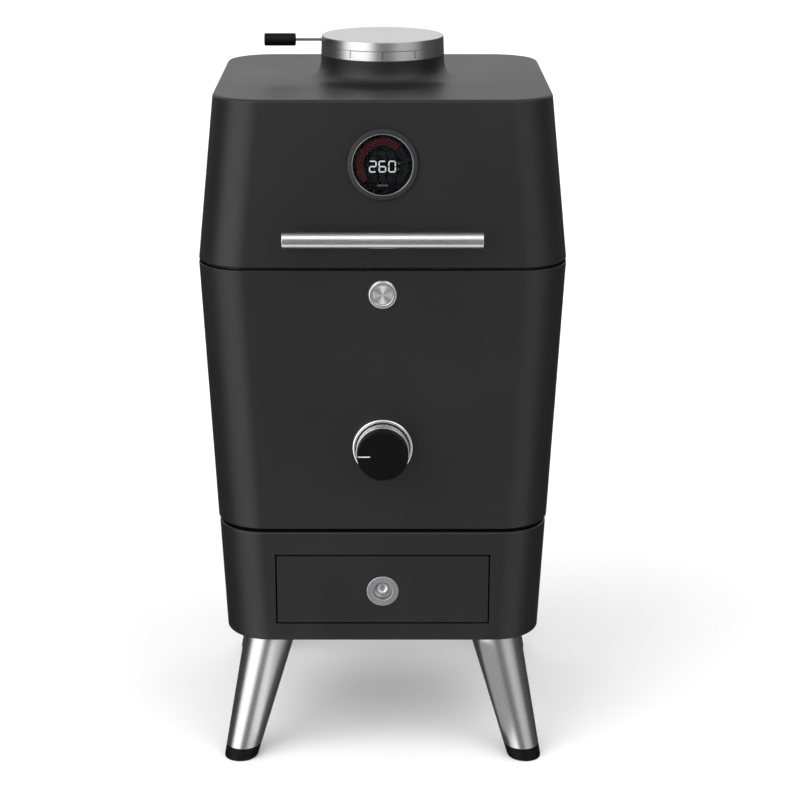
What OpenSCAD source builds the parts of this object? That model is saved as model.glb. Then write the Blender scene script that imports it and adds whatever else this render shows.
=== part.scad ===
// Free-standing charcoal smoker-oven with electric ignition: a tapered rounded
// box on four splayed legs, with a hinged lid, a turning chimney vent, a turning
// air-inlet knob, an ignition push button and a pull-out ash drawer.
// The front faces -Y and +X is to the right when facing the front.
// Origin: centre of the footprint, on the floor. Lengths in millimetres.

/* [Body] */
// Width across the lid seam, the widest place
seam_w = 570; // [556:1:580]
// Depth across the lid seam, without handle and hinges
seam_d = 538; // [526:1:548]
// Height of the underside of the base section
bottom_z = 214.5; // [200:0.5:240]
// Height of the seam between the base section and the body section
base_seam_z = 408; // [404:1:412]
// Height of the seam between the body section and the lid
seam_z = 840; // [838:1:846]
// Height of the flat top of the lid
lid_top_z = 1094; // [1084:1:1100]
// Rounding of the edge round the lid's flat top
lid_edge_r = 4.5; // [3:0.5:11]
// Lean of the base and body faces from upright, in degrees
body_draft = 2.68; // [2:0.01:3]
// Lean of the lid faces from upright, in degrees
lid_draft = 5.65; // [5:0.01:6.2]
// Plan radius of the corners
corner_r = 75.5; // [70:0.5:80]
// Thickness of the cast shells
wall = 4; // [3:0.5:4.5]

/* [Seams] */
// Open height of the seam between base and body
base_gap = 5.5; // [4:0.5:6]
// Open height of the seam between body and lid
lid_gap = 4.5; // [4:0.5:5]
// How far the base section stands in from the body's faces
base_inset = 1; // [0.5:0.5:2]

/* [Lid handle] */
// Diameter of the bar
bar_d = 25.5; // [22:0.5:28]
// Length of the bar
bar_len = 302; // [280:1:320]
// Height of the bar's centre line
bar_z = 893.8; // [885:0.1:900]
// Distance of the bar's centre line in front of the body's centre
bar_y = 306; // [300:1:312]

/* [Gauge] */
// Diameter of the bezel
gauge_d = 108.7; // [100:0.1:112]
// Height of the gauge's centre
gauge_z = 998.1; // [990:0.1:1005]

/* [Chimney vent] */
// Outer radius of the top of the neck, where the steel collar stands
neck_r = 98.3; // [97:0.1:99]
// Radius of the flared foot of the neck, where it meets the lid
neck_foot_r = 125.3; // [118:0.1:128]
// Height of the top of the neck
neck_top_z = 1130; // [1128:1:1132]
// Lean of the sides of the collar and the cap from upright, in degrees
vent_draft = 2.5; // [0:0.1:3]
// Height of the flat top of the cap
cap_top_z = 1159.1; // [1156:0.1:1160]
// Distance of the outer end of the lever from the cap's axis
lever_reach = 188.6; // [180:0.1:200]

/* [Front controls] */
// Height of the ignition button's centre
button_z = 800; // [790:1:806]
// Height of the air knob's centre
knob_z = 552; // [545:1:560]
// Diameter of the air knob's fixed ring
ring_d = 95; // [92:1:98]
// Diameter of the air knob
knob_d = 80; // [78:1:82]

/* [Ash drawer] */
// Width of the drawer front
drawer_w = 338.8; // [320:0.1:345]
// Height of the lower edge of the drawer front
drawer_z0 = 247; // [246:0.1:252]
// Height of the upper edge of the drawer front
drawer_z1 = 363.3; // [355:0.1:366]
// Gap all round the drawer front
drawer_gap = 2.5; // [1.5:0.5:3]
// Depth of the ash tray from the drawer front to its back
tray_depth = 290; // [240:5:300]

/* [Legs] */
// Diameter of a leg where it meets the base
leg_top_d = 83.6; // [78:0.2:88]
// Diameter of a leg at the floor
leg_foot_d = 53.2; // [48:0.2:58]
// Sideways place of a leg's axis at the base
leg_x = 183; // [176:1:186]
// Front-to-back place of a leg's axis at the base
leg_y = 167; // [160:1:170]
// How far a leg's axis runs outward, both ways, down to the floor
leg_splay = 52; // [46:1:56]
// Height of the black foot
foot_h = 20.4; // [15:0.1:24]

/* [Hidden] */
$fn = 64;

// A small overrun so that cuts pass right through a face
cut = 1;
// How far a cut through a shell reaches on both sides of its face
through = 20;
// Steps in each quarter circle of the rounded plan outline
corner_steps = 12;

// Colours
graphite = [0.19, 0.19, 0.20];
dark = [0.08, 0.08, 0.085];
black = [0.04, 0.04, 0.045];
steel = [0.74, 0.74, 0.75];
iron = [0.15, 0.15, 0.155];
enamel = [0.12, 0.12, 0.13];
ceramic = [0.86, 0.84, 0.80];

// Section heights: each seam is centred on its stated height
base_top = base_seam_z - base_gap / 2;
body_foot = base_seam_z + base_gap / 2;
body_top = seam_z - lid_gap / 2;
lid_foot = seam_z + lid_gap / 2;

// Depth of an offset surface behind the outer face, for each layer
flange_in = 31;
body_flange_in = 44;
rim_in = 7;
liner_out = 18;
liner_wall = 2.5;
lid_liner_out = 14;
lid_liner_wall = 2;
flange_h = 6;
base_floor = 5;
liner_floor_h = 3;
liner_flange_h = 2;

// Half width and half depth of the outer surface at height z
function half_w(z) = seam_w / 2 - drop(z);
function half_d(z) = seam_d / 2 - drop(z);
// How far the faces have come in from the seam line at height z
function drop(z) =
    z < seam_z ? (seam_z - z) * tan(body_draft) : (z - seam_z) * tan(lid_draft);

// Outer radius of the steel collar and cap at height z
function vent_r(z) = neck_r - (z - neck_top_z) * tan(vent_draft);

// Hinge: pin behind the rear faces, at the height of the seam
hinge_r = 9;
pin_r = 4;
pin_bore_r = 4.05;
hinge_stand = 14.5;
pin_y = seam_d / 2 + hinge_stand;
hinge_x = 150;
knuckle_w = 22;
knuckle_gap = 0.5;
leaf_t = 4;
leaf_h = 34;
leaf_w = 3 * knuckle_w + 2 * knuckle_gap;

// The origin is halfway between the handle's front and the hinge's back
y_shift = (bar_y + bar_d / 2 - pin_y - hinge_r) / 2;

// Bolts that join the base and body flanges
frame_bolt_r = 3;
frame_bolt_in = 11;
bolt_clear = 0.3;
nut_r = 5.2;

// Power inlet: appliance socket in the rear wall of the base
inlet_x = 140;
inlet_z = 262;

// Opening in the fire box floor and the ash chute below it
chute_lo = [-116, -96];
chute_hi = [116, 76];
chute_wall = 2;
chute_foot = 352;

// Electric element and the ceramic socket that carries it
element_z = 440;
element_half = 12;
element_r = 4;
element_tip_y = -60;
socket_r = 20;
socket_face_y = 217;
socket_pocket = 3;

// Ledges for the deflector and the two grates, and their inner edges
shelf_z = [585, 660, 788];
shelf_in = 232;

// Gauge
gauge_hole_r = 46;
glass_r = 46.5;

// Handle posts, square to the lid's face, and their screws
post_x = 118;
post_r = 6;
post_screw_r = 3;
bar_foot_z = bar_z - (bar_y - half_d(bar_z)) * tan(lid_draft);
post_len = (bar_y - half_d(bar_foot_z)) / cos(lid_draft);

// Chimney: fixed neck, sleeve and collar
flue_r = 80;
neck_curve = 1.6;
collar_foot = neck_top_z;
collar_top = collar_foot + 15;
collar_bore_r = 92;
port_margin = 3;
port_arc = 56;
port_pitch = 60;

// Chimney: turning cap, shutter and lever
cap_gap = 0.35;
cap_foot = collar_top + cap_gap;
cap_wall = 2.5;
cap_edge = 1.2;
cap_bore_r = vent_r(cap_top_z) - cap_wall;
hub_r = 11;
spindle_r = 5;
spindle_bore_r = 5.05;
spindle_bore_top = cap_top_z - 6;
shutter_r = collar_bore_r - 0.5;
shutter_wall = 2.5;
vent_turn = 31;
lever_z = 1151.2;
lever_r = 2.25;
lever_in = 82;
grip_r = 10;
grip_len = 50;
grip_socket = 4;

// Air knob, in the frame of the front face
ring_h = 10;
ring_edge = 2;
collar_r = 41.5;
collar_clear = 1.5;
knob_back = 28;
knob_face = 46;
knob_edge = 2;
knob_socket = 13;
pointer_depth = 1;
pointer_w = 2.2;
pointer_len = 18.8;
damper_r = 37.5;
window_r = [13, 34];
window_arc = 70;
shaft_r = 5;
shaft_bore_r = 5.05;

// Button, in the frame of the front face
button_r = 15.2;
button_clear = 0.6;
bezel_r = 22.8;
housing_r = button_r + 4;
housing_depth = 16.5;
housing_floor = 2;
button_back = -8;

// Drawer
panel_t = 5;
aperture_depth = 60;
tray_half_w = 158;
tray_z0 = 250;
tray_z1 = 345;
tray_wall = 2;
// The tray's front face stands just clear of the drawer front
tray_in = panel_t + 0.03;
// Depth of the bay between the drawer front and the tray's front wall
tray_bay = 18;
runner_t = 2.5;
pull_z = 303;
pull_r = 25.5;
pull_t = 2.4;
cup_r = 18;
cup_depth = 20;
cup_clear = 1.5;

// Legs
leg_wall = 3;
leg_plate = 8;
leg_len = norm([leg_splay, leg_splay, bottom_z]);
leg_tilt = atan2(norm([leg_splay, leg_splay]), bottom_z);
leg_over = 60;
leg_bolt_r = 4;
leg_bolt_ring = 24;
foot_plug = 16;

// ---------------------------------------------------------------- helpers

// Rounded-rectangle outline with half sizes w and d and corner radius r
function outline(w, d, r) = [
    for (c = [0:3])
        let (sx = c == 0 || c == 3 ? 1 : -1, sy = c < 2 ? 1 : -1)
            for (s = [0:corner_steps])
                let (a = 90 * c + 90 * s / corner_steps)
                    [sx * (w - r) + r * cos(a), sy * (d - r) + r * sin(a)]
];

// Closed solid through a stack of [z, half width, half depth, corner radius]
module loft(levels) {
    n = 4 * (corner_steps + 1);
    last = len(levels) - 1;
    points = [
        for (l = levels)
            for (p = outline(l[1], l[2], l[3])) [p[0], p[1], l[0]]
    ];
    sides = [
        for (k = [0:last - 1])
            for (i = [0:n - 1])
                [k * n + i, (k + 1) * n + i, (k + 1) * n + (i + 1) % n, k * n + (i + 1) % n]
    ];
    foot = [[for (i = [0:n - 1]) i]];
    top = [[for (i = [n - 1:-1:0]) last * n + i]];
    polyhedron(points, concat(foot, sides, top), convexity = 6);
}

// One level of an offset surface, the distance in behind the outer face
function level(z, in) = [z, half_w(z) - in, half_d(z) - in, corner_r - in];

// Levels that round an edge of radius r at height z; up is 1 at a top edge
function edge(z, in, r, up) = [
    for (s = [0:4])
        let (a = up > 0 ? 90 * s / 4 : 90 - 90 * s / 4)
            level(z - up * r * (1 - sin(a)), in + r * (1 - cos(a)))
];

// Solid between two heights behind the outer face, with rounded edges
module block(z0, z1, in, r0, r1) {
    loft(concat(edge(z0, in, r0, -1), edge(z1, in, r1, 1)));
}

// Straight solid between two heights behind the outer face
module core(z0, z1, in) {
    loft([level(z0, in), level(z1, in)]);
}

// Places children on the front face of the body at height z, +Z outward
module on_front(z, x = 0, in = 0) {
    translate([x, -half_d(z) + in, z]) rotate([90 + body_draft, 0, 0]) children();
}

// Places children on the front face of the lid at height z, +Z outward
module on_lid_front(z, x = 0) {
    translate([x, -half_d(z), z]) rotate([90 - lid_draft, 0, 0]) children();
}

// Places children on the rear face at height z, +Z outward
module on_back(z, x = 0, in = 0) {
    lean = z < seam_z ? body_draft : -lid_draft;
    translate([x, half_d(z) - in, z]) rotate([-90 - lean, 0, 0]) children();
}

// Upright tube
module tube(r_out, r_in, z0, z1) {
    translate([0, 0, z0]) difference() {
        cylinder(h = z1 - z0, r = r_out);
        translate([0, 0, -cut]) cylinder(h = z1 - z0 + 2 * cut, r = r_in);
    }
}

// Upright rod
module rod(r, z0, z1) {
    translate([0, 0, z0]) cylinder(h = z1 - z0, r = r);
}

// Upright hexagon for a nut or a bolt head
module hexagon(r, z0, z1) {
    translate([0, 0, z0]) cylinder(h = z1 - z0, r = r, $fn = 6);
}

// Block centred on the axis, w wide and d deep between two heights
module centred(w, d, z0, z1) {
    translate([-w / 2, -d / 2, z0]) cube([w, d, z1 - z0]);
}

// Ring sector between two radii and two angles, for ports and windows
module sector(r_in, r_out, a0, a1, h) {
    rotate([0, 0, a0]) rotate_extrude(angle = a1 - a0)
        translate([r_in, 0]) square([r_out - r_in, h]);
}

// Four copies at the corners of a rectangle
module at_corners(x, y) {
    for (sx = [-1, 1])
        for (sy = [-1, 1])
            translate([sx * x, sy * y, 0]) children();
}

// Box given by its lowest and highest corners
module box(lo, hi) {
    translate(lo) cube(hi - lo);
}

// ---------------------------------------------------------------- base section

module base_shell() {
    color(graphite) difference() {
        block(bottom_z, base_top, base_inset, 2.5, 5);
        core(bottom_z + base_floor, base_top - flange_h, base_inset + wall);
        core(base_top - flange_h - cut, base_top + cut, flange_in);
        // drawer aperture
        box(
            [-drawer_w / 2 - drawer_gap, -seam_d / 2, drawer_z0 - drawer_gap],
            [drawer_w / 2 + drawer_gap, -seam_d / 2 + aperture_depth, drawer_z1 + drawer_gap]
        );
        // cut-out for the power inlet
        on_back(inlet_z, inlet_x, base_inset) centred(28, 21, -10, 10);
        leg_bolt_places() rod(leg_bolt_r + bolt_clear, bottom_z - cut, bottom_z + base_floor + cut);
        frame_bolt_places() rod(frame_bolt_r + bolt_clear, base_top - flange_h - cut, base_top + cut);
    }
}

// Heat-proof cord between the flanges, seen as the dark line of the seam
module seam_gasket() {
    color(black) difference() {
        core(base_top, body_foot, rim_in);
        core(base_top - cut, body_foot + cut, flange_in - 1);
        frame_bolt_places() rod(frame_bolt_r + bolt_clear, base_top - cut, body_foot + cut);
    }
}

// Axes of the bolts that join the base and body flanges
module frame_bolt_places() {
    z = base_seam_z;
    for (sx = [-1, 1])
        for (y = [-110, 110])
            translate([sx * (half_w(z) - frame_bolt_in), y, 0]) children();
    for (sy = [-1, 1])
        for (x = [-120, 120])
            translate([x, sy * (half_d(z) - frame_bolt_in), 0]) children();
}

module frame_bolts() {
    foot = base_top - flange_h;
    top = body_foot + flange_h;
    head_h = 4;
    nut_h = 4.5;
    color(steel) frame_bolt_places() {
        rod(frame_bolt_r, foot - 0.5, top + 5);
        hexagon(nut_r, foot - head_h, foot);
        hexagon(nut_r, top, top + nut_h);
    }
}

module power_inlet() {
    nose_back = -28;
    recess_back = -18;
    color(black) on_back(inlet_z, inlet_x, base_inset) difference() {
        union() {
            centred(50, 28, 0, 3);
            centred(27, 20, nose_back, cut);
        }
        centred(23, 16, recess_back, 4);
        for (x = [-20, 20]) translate([x, 0, 0]) rod(1.7, -cut, 5);
    }
    // three contact blades
    color(steel) on_back(inlet_z, inlet_x, base_inset)
        for (p = [[-7, -2], [0, 2], [7, -2]])
            translate([p[0], p[1], 0]) centred(2, 4, recess_back - 1, -4);
}

// Ignition controller in the back of the base
module control_box() {
    lo = [-105, 88, bottom_z + base_floor];
    hi = [105, 200, 300];
    side = [3, 3, 3];
    board_z = 236;
    board_t = 2;
    color(dark) difference() {
        box(lo, hi);
        box(lo + side, hi - side);
        // ventilation slots in the back wall
        for (x = [-60:20:60]) box([x - 4, hi[1] - 10, 280], [x + 4, hi[1] + 10, 292]);
    }
    color([0.10, 0.30, 0.16]) box([-90, 100, board_z], [90, 188, board_z + board_t]);
    // stand-offs under the circuit board
    color(steel) translate([0, 144, 0]) at_corners(80, 36) rod(3, lo[2] + side[2], board_z);
}

// Chute that guides ash from the fire box into the drawer
module ash_chute() {
    top = body_foot + flange_h;
    color(enamel) difference() {
        box([each chute_lo, chute_foot], [each chute_hi, top]);
        chute_passage(chute_foot - cut, top + cut);
    }
}

// The way through the chute between two heights
module chute_passage(z0, z1) {
    w = [chute_wall, chute_wall];
    box([each (chute_lo + w), z0], [each (chute_hi - w), z1]);
}

// Two rails on the floor that carry and guide the ash tray
module drawer_runners() {
    web_x = 150;
    guide_x = 162;
    outer_x = 164;
    y0 = -200;
    y1 = 60;
    rail_top = tray_z0 - 0.5;
    rail_foot = rail_top - runner_t;
    color(steel) for (s = [-1, 1]) mirror([s < 0 ? 1 : 0, 0, 0]) {
        box([web_x, y0, rail_foot], [outer_x, y1, rail_top]);
        box([guide_x, y0, rail_top], [outer_x, y1, tray_z0 + 14]);
        box([web_x, y0, bottom_z + base_floor], [web_x + 2, y1, rail_foot]);
    }
}

// ---------------------------------------------------------------- body section

module body_shell() {
    color(graphite) difference() {
        block(body_foot, body_top, 0, 4, 1.5);
        core(body_foot + flange_h, body_top - flange_h, wall);
        core(body_foot - cut, body_foot + flange_h + cut, body_flange_in);
        core(body_top - flange_h - cut, body_top + cut, liner_out - 2);
        on_front(knob_z) rod(damper_r + 1, -through, through);
        on_front(button_z) rod(housing_r + 0.45, -through, through);
        frame_bolt_places() rod(frame_bolt_r + bolt_clear, body_foot - cut, body_foot + flange_h + cut);
    }
}

// Enamelled fire box and cooking chamber, hung from its rim
module inner_liner() {
    foot = body_foot + flange_h;
    rim = body_top + liner_flange_h;
    color(enamel) difference() {
        union() {
            core(foot, rim, liner_out);
            core(body_top, rim, rim_in);
        }
        core(foot + liner_floor_h, seam_z, liner_out + liner_wall);
        // ash opening in the floor
        chute_passage(foot - cut, foot + liner_floor_h + cut);
        // air slots low in the front wall
        for (x = [-150:30:150])
            box([x - 9, -seam_d / 2, foot + 10], [x + 9, -seam_d / 2 + 60, foot + 18]);
        // hole for the heating element
        translate([0, seam_d / 2, element_z]) rotate([90, 0, 0])
            cylinder(h = 60, r = socket_r);
    }
}

// Slotted tray that holds the charcoal, on four short feet
module charcoal_tray() {
    z0 = 455;
    z1 = 515;
    half_x = 190;
    half_y = 150;
    side = 3;
    slot = [8, 110];
    floor_top = body_foot + flange_h + liner_floor_h;
    color(iron) {
        difference() {
            centred(2 * half_x, 2 * half_y, z0, z1);
            centred(2 * (half_x - side), 2 * (half_y - side), z0 + side + 1, z1 + cut);
            for (x = [-165:22:165])
                for (y = [-70, 70]) translate([x, y, 0]) centred(slot[0], slot[1], z0 - cut, z0 + 5);
        }
        at_corners(half_x - 20, half_y - 20) rod(7, floor_top, z0);
    }
}

// Sheathed electric element: a long hairpin under the charcoal tray
module ignition_element() {
    len = socket_face_y + socket_pocket - element_tip_y;
    color([0.35, 0.33, 0.32]) translate([0, element_tip_y, element_z]) {
        for (s = [-1, 1])
            translate([s * element_half, 0, 0]) rotate([-90, 0, 0]) cylinder(h = len, r = element_r);
        rotate([0, 0, 180]) rotate_extrude(angle = 180)
            translate([element_half, 0]) circle(element_r);
    }
}

// Ceramic block that carries the element through the liner's rear wall
module element_socket() {
    color(ceramic) translate([0, 0, element_z]) rotate([-90, 0, 0]) difference() {
        rod(socket_r, socket_face_y, 240);
        for (x = [-element_half, element_half])
            translate([x, 0, socket_face_y - cut]) cylinder(h = socket_pocket + cut, r = element_r);
    }
}

// Tray that spreads the heat and catches drips, on two arms that reach the ledges
module heat_deflector() {
    z = shelf_z[0];
    top = z + 22;
    plate_t = 3;
    color(enamel) difference() {
        union() {
            centred(340, 300, z, top);
            for (y = [-100, 100]) translate([0, y, 0]) centred(480, 30, z, z + plate_t);
        }
        centred(336, 296, z + plate_t, top + cut);
    }
}

// Ledges on both side walls for the deflector and the two grates
module rack_shelves() {
    length = 260;
    root_h = 14;
    color(steel)
        for (z = shelf_z)
            for (s = [-1, 1]) mirror([s < 0 ? 1 : 0, 0, 0])
                translate([0, length / 2, 0]) rotate([90, 0, 0]) linear_extrude(length) polygon([
                    [shelf_in, z], [shelf_in, z - 3],
                    [liner_x(z - root_h), z - root_h], [liner_x(z), z]
                ]);
}

// Just inside the liner's side wall at height z
function liner_x(z) = half_w(z) - liner_out - liner_wall - 0.05;

// Cast cooking grate: a frame with bars along Y and one cross bar
module grate(half_x, half_y, z) {
    frame_w = 10;
    bar_w = 6;
    pitch = 22;
    top = z + 12;
    // the bars run a little way into the frame
    reach_x = 2 * (half_x - frame_w + 1);
    reach_y = 2 * (half_y - frame_w + 1);
    n = floor((half_x - frame_w - 2) / pitch);
    color(iron) {
        difference() {
            centred(2 * half_x, 2 * half_y, z, top);
            centred(2 * (half_x - frame_w), 2 * (half_y - frame_w), z - cut, top + cut);
        }
        for (i = [-n:n]) translate([i * pitch, 0, 0]) centred(bar_w, reach_y, z + 2, top);
        centred(reach_x, 12, z, z + 8);
    }
}

module lower_grate() {
    grate(238, 214, shelf_z[1]);
}

module upper_grate() {
    grate(242, 222, shelf_z[2]);
}

// ---------------------------------------------------------------- legs

// Solid cone of one leg, from above the base floor to below the ground
module leg_cone(in) {
    d_slope = (leg_top_d - leg_foot_d) / leg_len;
    translate([leg_x, leg_y, bottom_z])
        rotate([0, 0, 45]) rotate([0, 180 - leg_tilt, 0])
            translate([0, 0, -leg_over])
                cylinder(
                    h = leg_len + 2 * leg_over,
                    r1 = (leg_top_d + d_slope * leg_over) / 2 - in,
                    r2 = (leg_foot_d - d_slope * leg_over) / 2 - in
                );
}

// Keeps the part of its children between two heights
module slab(z0, z1) {
    intersection() {
        children();
        box([0, 0, z0], [seam_w, seam_d, z1]);
    }
}

module leg() {
    color(steel) difference() {
        slab(foot_h, bottom_z) leg_cone(0);
        slab(foot_h - cut, bottom_z - leg_plate) leg_cone(leg_wall);
        translate([leg_x, leg_y, 0])
            for (a = [45:120:285])
                rotate([0, 0, a]) translate([leg_bolt_ring, 0, 0])
                    rod(leg_bolt_r, bottom_z - leg_plate - cut, bottom_z + cut);
    }
}

module foot() {
    color(black) {
        slab(0, foot_h) leg_cone(0);
        // plug that holds the foot in the tube
        slab(foot_h - 0.01, foot_h + foot_plug) leg_cone(leg_wall + 0.3);
    }
}

// Puts a front-right-quarter child on the quarter named by the two signs
module quarter(sx, sy) {
    mirror([sx < 0 ? 1 : 0, 0, 0]) mirror([0, sy < 0 ? 1 : 0, 0]) children();
}

module leg_front_left() {
    quarter(-1, -1) leg();
}

module leg_front_right() {
    quarter(1, -1) leg();
}

module leg_rear_left() {
    quarter(-1, 1) leg();
}

module leg_rear_right() {
    quarter(1, 1) leg();
}

module feet() {
    for (sx = [-1, 1])
        for (sy = [-1, 1]) quarter(sx, sy) foot();
}

module leg_bolt_places() {
    for (sx = [-1, 1])
        for (sy = [-1, 1])
            quarter(sx, sy) translate([leg_x, leg_y, 0])
                for (a = [45:120:285]) rotate([0, 0, a]) translate([leg_bolt_ring, 0, 0]) children();
}

module leg_bolts() {
    top = bottom_z + base_floor;
    color(steel) leg_bolt_places() {
        rod(leg_bolt_r, bottom_z - leg_plate, top + 1);
        hexagon(7.5, top, top + 5.3);
    }
}

// ---------------------------------------------------------------- air inlet knob

module vent_ring() {
    r0 = collar_r + collar_clear;
    r1 = ring_d / 2;
    color(steel) on_front(knob_z) difference() {
        rotate_extrude() union() {
            translate([r0, 0]) square([r1 - r0, ring_h - ring_edge]);
            translate([r0, 0]) square([r1 - r0 - ring_edge, ring_h]);
            translate([r1 - ring_edge, ring_h - ring_edge]) circle(ring_edge);
        }
        // air slots on the underside
        for (a = [-125:14:-55]) rotate([0, 0, a]) translate([r0 + 3, 0, 0]) centred(8, 7, 1.5, 5.5);
    }
}

// Fixed plate with two windows behind the knob, and the shaft's bush
module vent_plate() {
    color(dark) on_front(knob_z) difference() {
        union() {
            rod(collar_r + 1.2, 0, 2);
            rod(9, 0, 8);
        }
        rod(shaft_bore_r, -cut, 11);
        for (a = [10, 190]) translate([0, 0, -cut]) sector(window_r[0], window_r[1], a, a + window_arc, 4);
    }
}

// Disc behind the plate whose windows open and close those of the plate
module air_damper() {
    color(steel) on_front(knob_z) difference() {
        rod(damper_r, -3, -0.5);
        rod(shaft_r, -5, 1);
        for (a = [100, 280]) translate([0, 0, -4]) sector(window_r[0], window_r[1], a, a + window_arc, 6);
    }
}

// Shaft with the collar that holds the damper
module knob_shaft() {
    color(steel) on_front(knob_z) {
        rod(shaft_r, -8, knob_socket + 25);
        rod(8, -6, -3);
    }
}

module knob_collar() {
    color(steel) on_front(knob_z) {
        tube(collar_r, collar_r - 2.5, 9, knob_back);
        tube(collar_r - 1, 12.5, knob_back - 2, knob_back);
    }
}

module air_knob() {
    r = knob_d / 2;
    color(black) on_front(knob_z) difference() {
        union() {
            rotate_extrude() polygon([
                [0, knob_back], [r - 1, knob_back], [r, knob_back + 1], [r, knob_face - knob_edge - 1],
                [r - knob_edge, knob_face], [0, knob_face]
            ]);
            rod(12, knob_socket + 1, knob_back);
        }
        rod(shaft_r, knob_socket, knob_socket + 25);
        // groove for the pointer
        pointer_place() centred(pointer_len + 0.2, pointer_w, -pointer_depth, 2);
    }
}

// Middle of the pointer line on the knob's face
module pointer_place() {
    translate([(pointer_len - knob_d) / 2 + 1.7, 0, knob_face]) children();
}

// White line that shows how far the air inlet is open
module knob_pointer() {
    color("white") on_front(knob_z) pointer_place() centred(pointer_len, pointer_w, -pointer_depth, 0.15);
}

// ---------------------------------------------------------------- ignition button

module button_bezel() {
    r = button_r + button_clear;
    color(steel) on_front(button_z) rotate_extrude() polygon([
        [r, 0], [bezel_r, 0], [bezel_r, 2], [bezel_r - 1.5, 4], [bezel_r - 4, 4.5], [r, 3.5]
    ]);
}

module button_housing() {
    color(dark) on_front(button_z) difference() {
        rod(housing_r, -housing_depth, 0);
        rod(button_r + button_clear, -housing_depth + housing_floor, cut);
    }
}

module ignition_button() {
    color(steel) on_front(button_z) rotate_extrude() polygon([
        [0, button_back], [button_r, button_back], [button_r, 3], [button_r - 1, 4], [0, 2.6]
    ]);
}

// Return spring, drawn as a tube of the coil's size
module button_spring() {
    color(steel) on_front(button_z) tube(7, 5.6, -housing_depth + housing_floor, button_back);
}

// ---------------------------------------------------------------- ash drawer

// Distance of the base's front face from the centre at height z
function base_front(z) = half_d(z) - base_inset;

// Side profile of a slab that follows the leaning front face
module front_slab(half_x, z0, z1, in0, in1) {
    translate([-half_x, 0, 0]) rotate([90, 0, 90]) linear_extrude(2 * half_x) polygon([
        [-base_front(z0) + in0, z0], [-base_front(z0) + in1, z0],
        [-base_front(z1) + in1, z1], [-base_front(z1) + in0, z1]
    ]);
}

module drawer_front() {
    color(graphite) difference() {
        front_slab(drawer_w / 2, drawer_z0, drawer_z1, 0, panel_t);
        on_front(pull_z, 0, base_inset) rod(cup_r + cup_clear, -through, through);
    }
}

// Open tray whose front wall stands behind the pull's cup; its sides and floor
// run on to the drawer front
module ash_tray() {
    back = tray_depth - base_front(tray_z0);
    wall_y = -base_front(tray_z0) + tray_in + tray_bay;
    inner_x = tray_half_w - tray_wall;
    inner_z = tray_z0 + tray_wall;
    color(enamel) difference() {
        translate([-tray_half_w, 0, 0]) rotate([90, 0, 90]) linear_extrude(2 * tray_half_w) polygon([
            [-base_front(tray_z0) + tray_in, tray_z0], [back, tray_z0],
            [back, tray_z1], [-base_front(tray_z1) + tray_in, tray_z1]
        ]);
        box([-inner_x, wall_y + tray_wall, inner_z], [inner_x, back - tray_wall, tray_z1 + cut]);
        // bay for the pull's cup
        box([-inner_x, -seam_d / 2, inner_z], [inner_x, wall_y, tray_z1 + cut]);
    }
}

// Round finger pull with a recessed cup
module drawer_pull() {
    color(steel) on_front(pull_z, 0, base_inset) difference() {
        union() {
            rotate_extrude() polygon([
                [0, 0], [pull_r, 0], [pull_r, 1.2], [pull_r - 1.2, pull_t], [0, pull_t]
            ]);
            rod(cup_r, -cup_depth, 1);
        }
        // the cup for a fingertip
        rotate_extrude() polygon([
            [0, -18], [11.5, -18], [14, -15.5], [15, -4], [16, 3], [0, 3]
        ]);
    }
}

// ---------------------------------------------------------------- lid

module lid_shell() {
    top_in = wall + 1;
    color(graphite) difference() {
        union() {
            block(lid_foot, lid_top_z, 0, 1.5, lid_edge_r);
            rotate_extrude() neck_profile();
        }
        core(lid_foot - cut, lid_top_z - top_in, wall);
        rod(flue_r, lid_top_z - through, neck_top_z + cut);
        on_lid_front(gauge_z) rod(gauge_hole_r, -through, through);
        for (x = [-post_x, post_x]) on_lid_front(bar_foot_z, x) rod(post_screw_r, -through, 1);
    }
}

// Half section of the chimney's neck, whose foot sweeps out into the lid's top
module neck_profile() {
    flare = neck_foot_r - neck_r;
    rise = neck_top_z - lid_top_z;
    steps = 10;
    polygon(concat(
        [[flue_r - 10, lid_top_z - 3], [flue_r - 10, neck_top_z]],
        [
            for (s = [0:steps])
                let (a = 90 * s / steps)
                    [neck_r + flare * pow(1 - cos(a), neck_curve), neck_top_z - rise * sin(a)]
        ],
        [[neck_foot_r, lid_top_z - 3]]
    ));
}

module lid_liner() {
    foot = lid_foot + 3.5;
    top = lid_top_z - 22;
    color(enamel) difference() {
        union() {
            core(foot, top, lid_liner_out);
            core(foot, foot + 2, wall + 0.5);
        }
        core(foot - cut, top - lid_liner_wall, lid_liner_out + lid_liner_wall);
        rod(flue_r + 0.2, top - 10, top + cut);
        on_lid_front(gauge_z) rod(gauge_hole_r - 1, -2 * through, 5);
        for (x = [-post_x, post_x]) on_lid_front(bar_foot_z, x) rod(8, -2 * through, -8);
    }
}

module lid_gasket() {
    color(black) difference() {
        core(body_top + liner_flange_h + 0.4, lid_foot + 3.5, 8);
        core(body_top, lid_foot + 5, 15);
    }
}

module handle_bar() {
    color(steel) translate([0, -bar_y, bar_z]) rotate([0, 90, 0]) rotate_extrude() {
        half = bar_len / 2;
        r = bar_d / 2;
        polygon([
            [0, -half], [r - 1.5, -half], [r, -half + 1.5], [r, half - 1.5], [r - 1.5, half], [0, half]
        ]);
    }
}

module handle_posts() {
    color(steel) for (x = [-post_x, post_x]) on_lid_front(bar_foot_z, x) difference() {
        union() {
            rod(post_r, 0, post_len - 4);
            rod(post_r + 1, 0, 2);
        }
        rod(post_screw_r, -cut, 15);
        // the bar's own surface
        translate([0, 0, post_len]) rotate([0, 90, 0])
            cylinder(h = 60, r = bar_d / 2, center = true);
    }
}

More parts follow.
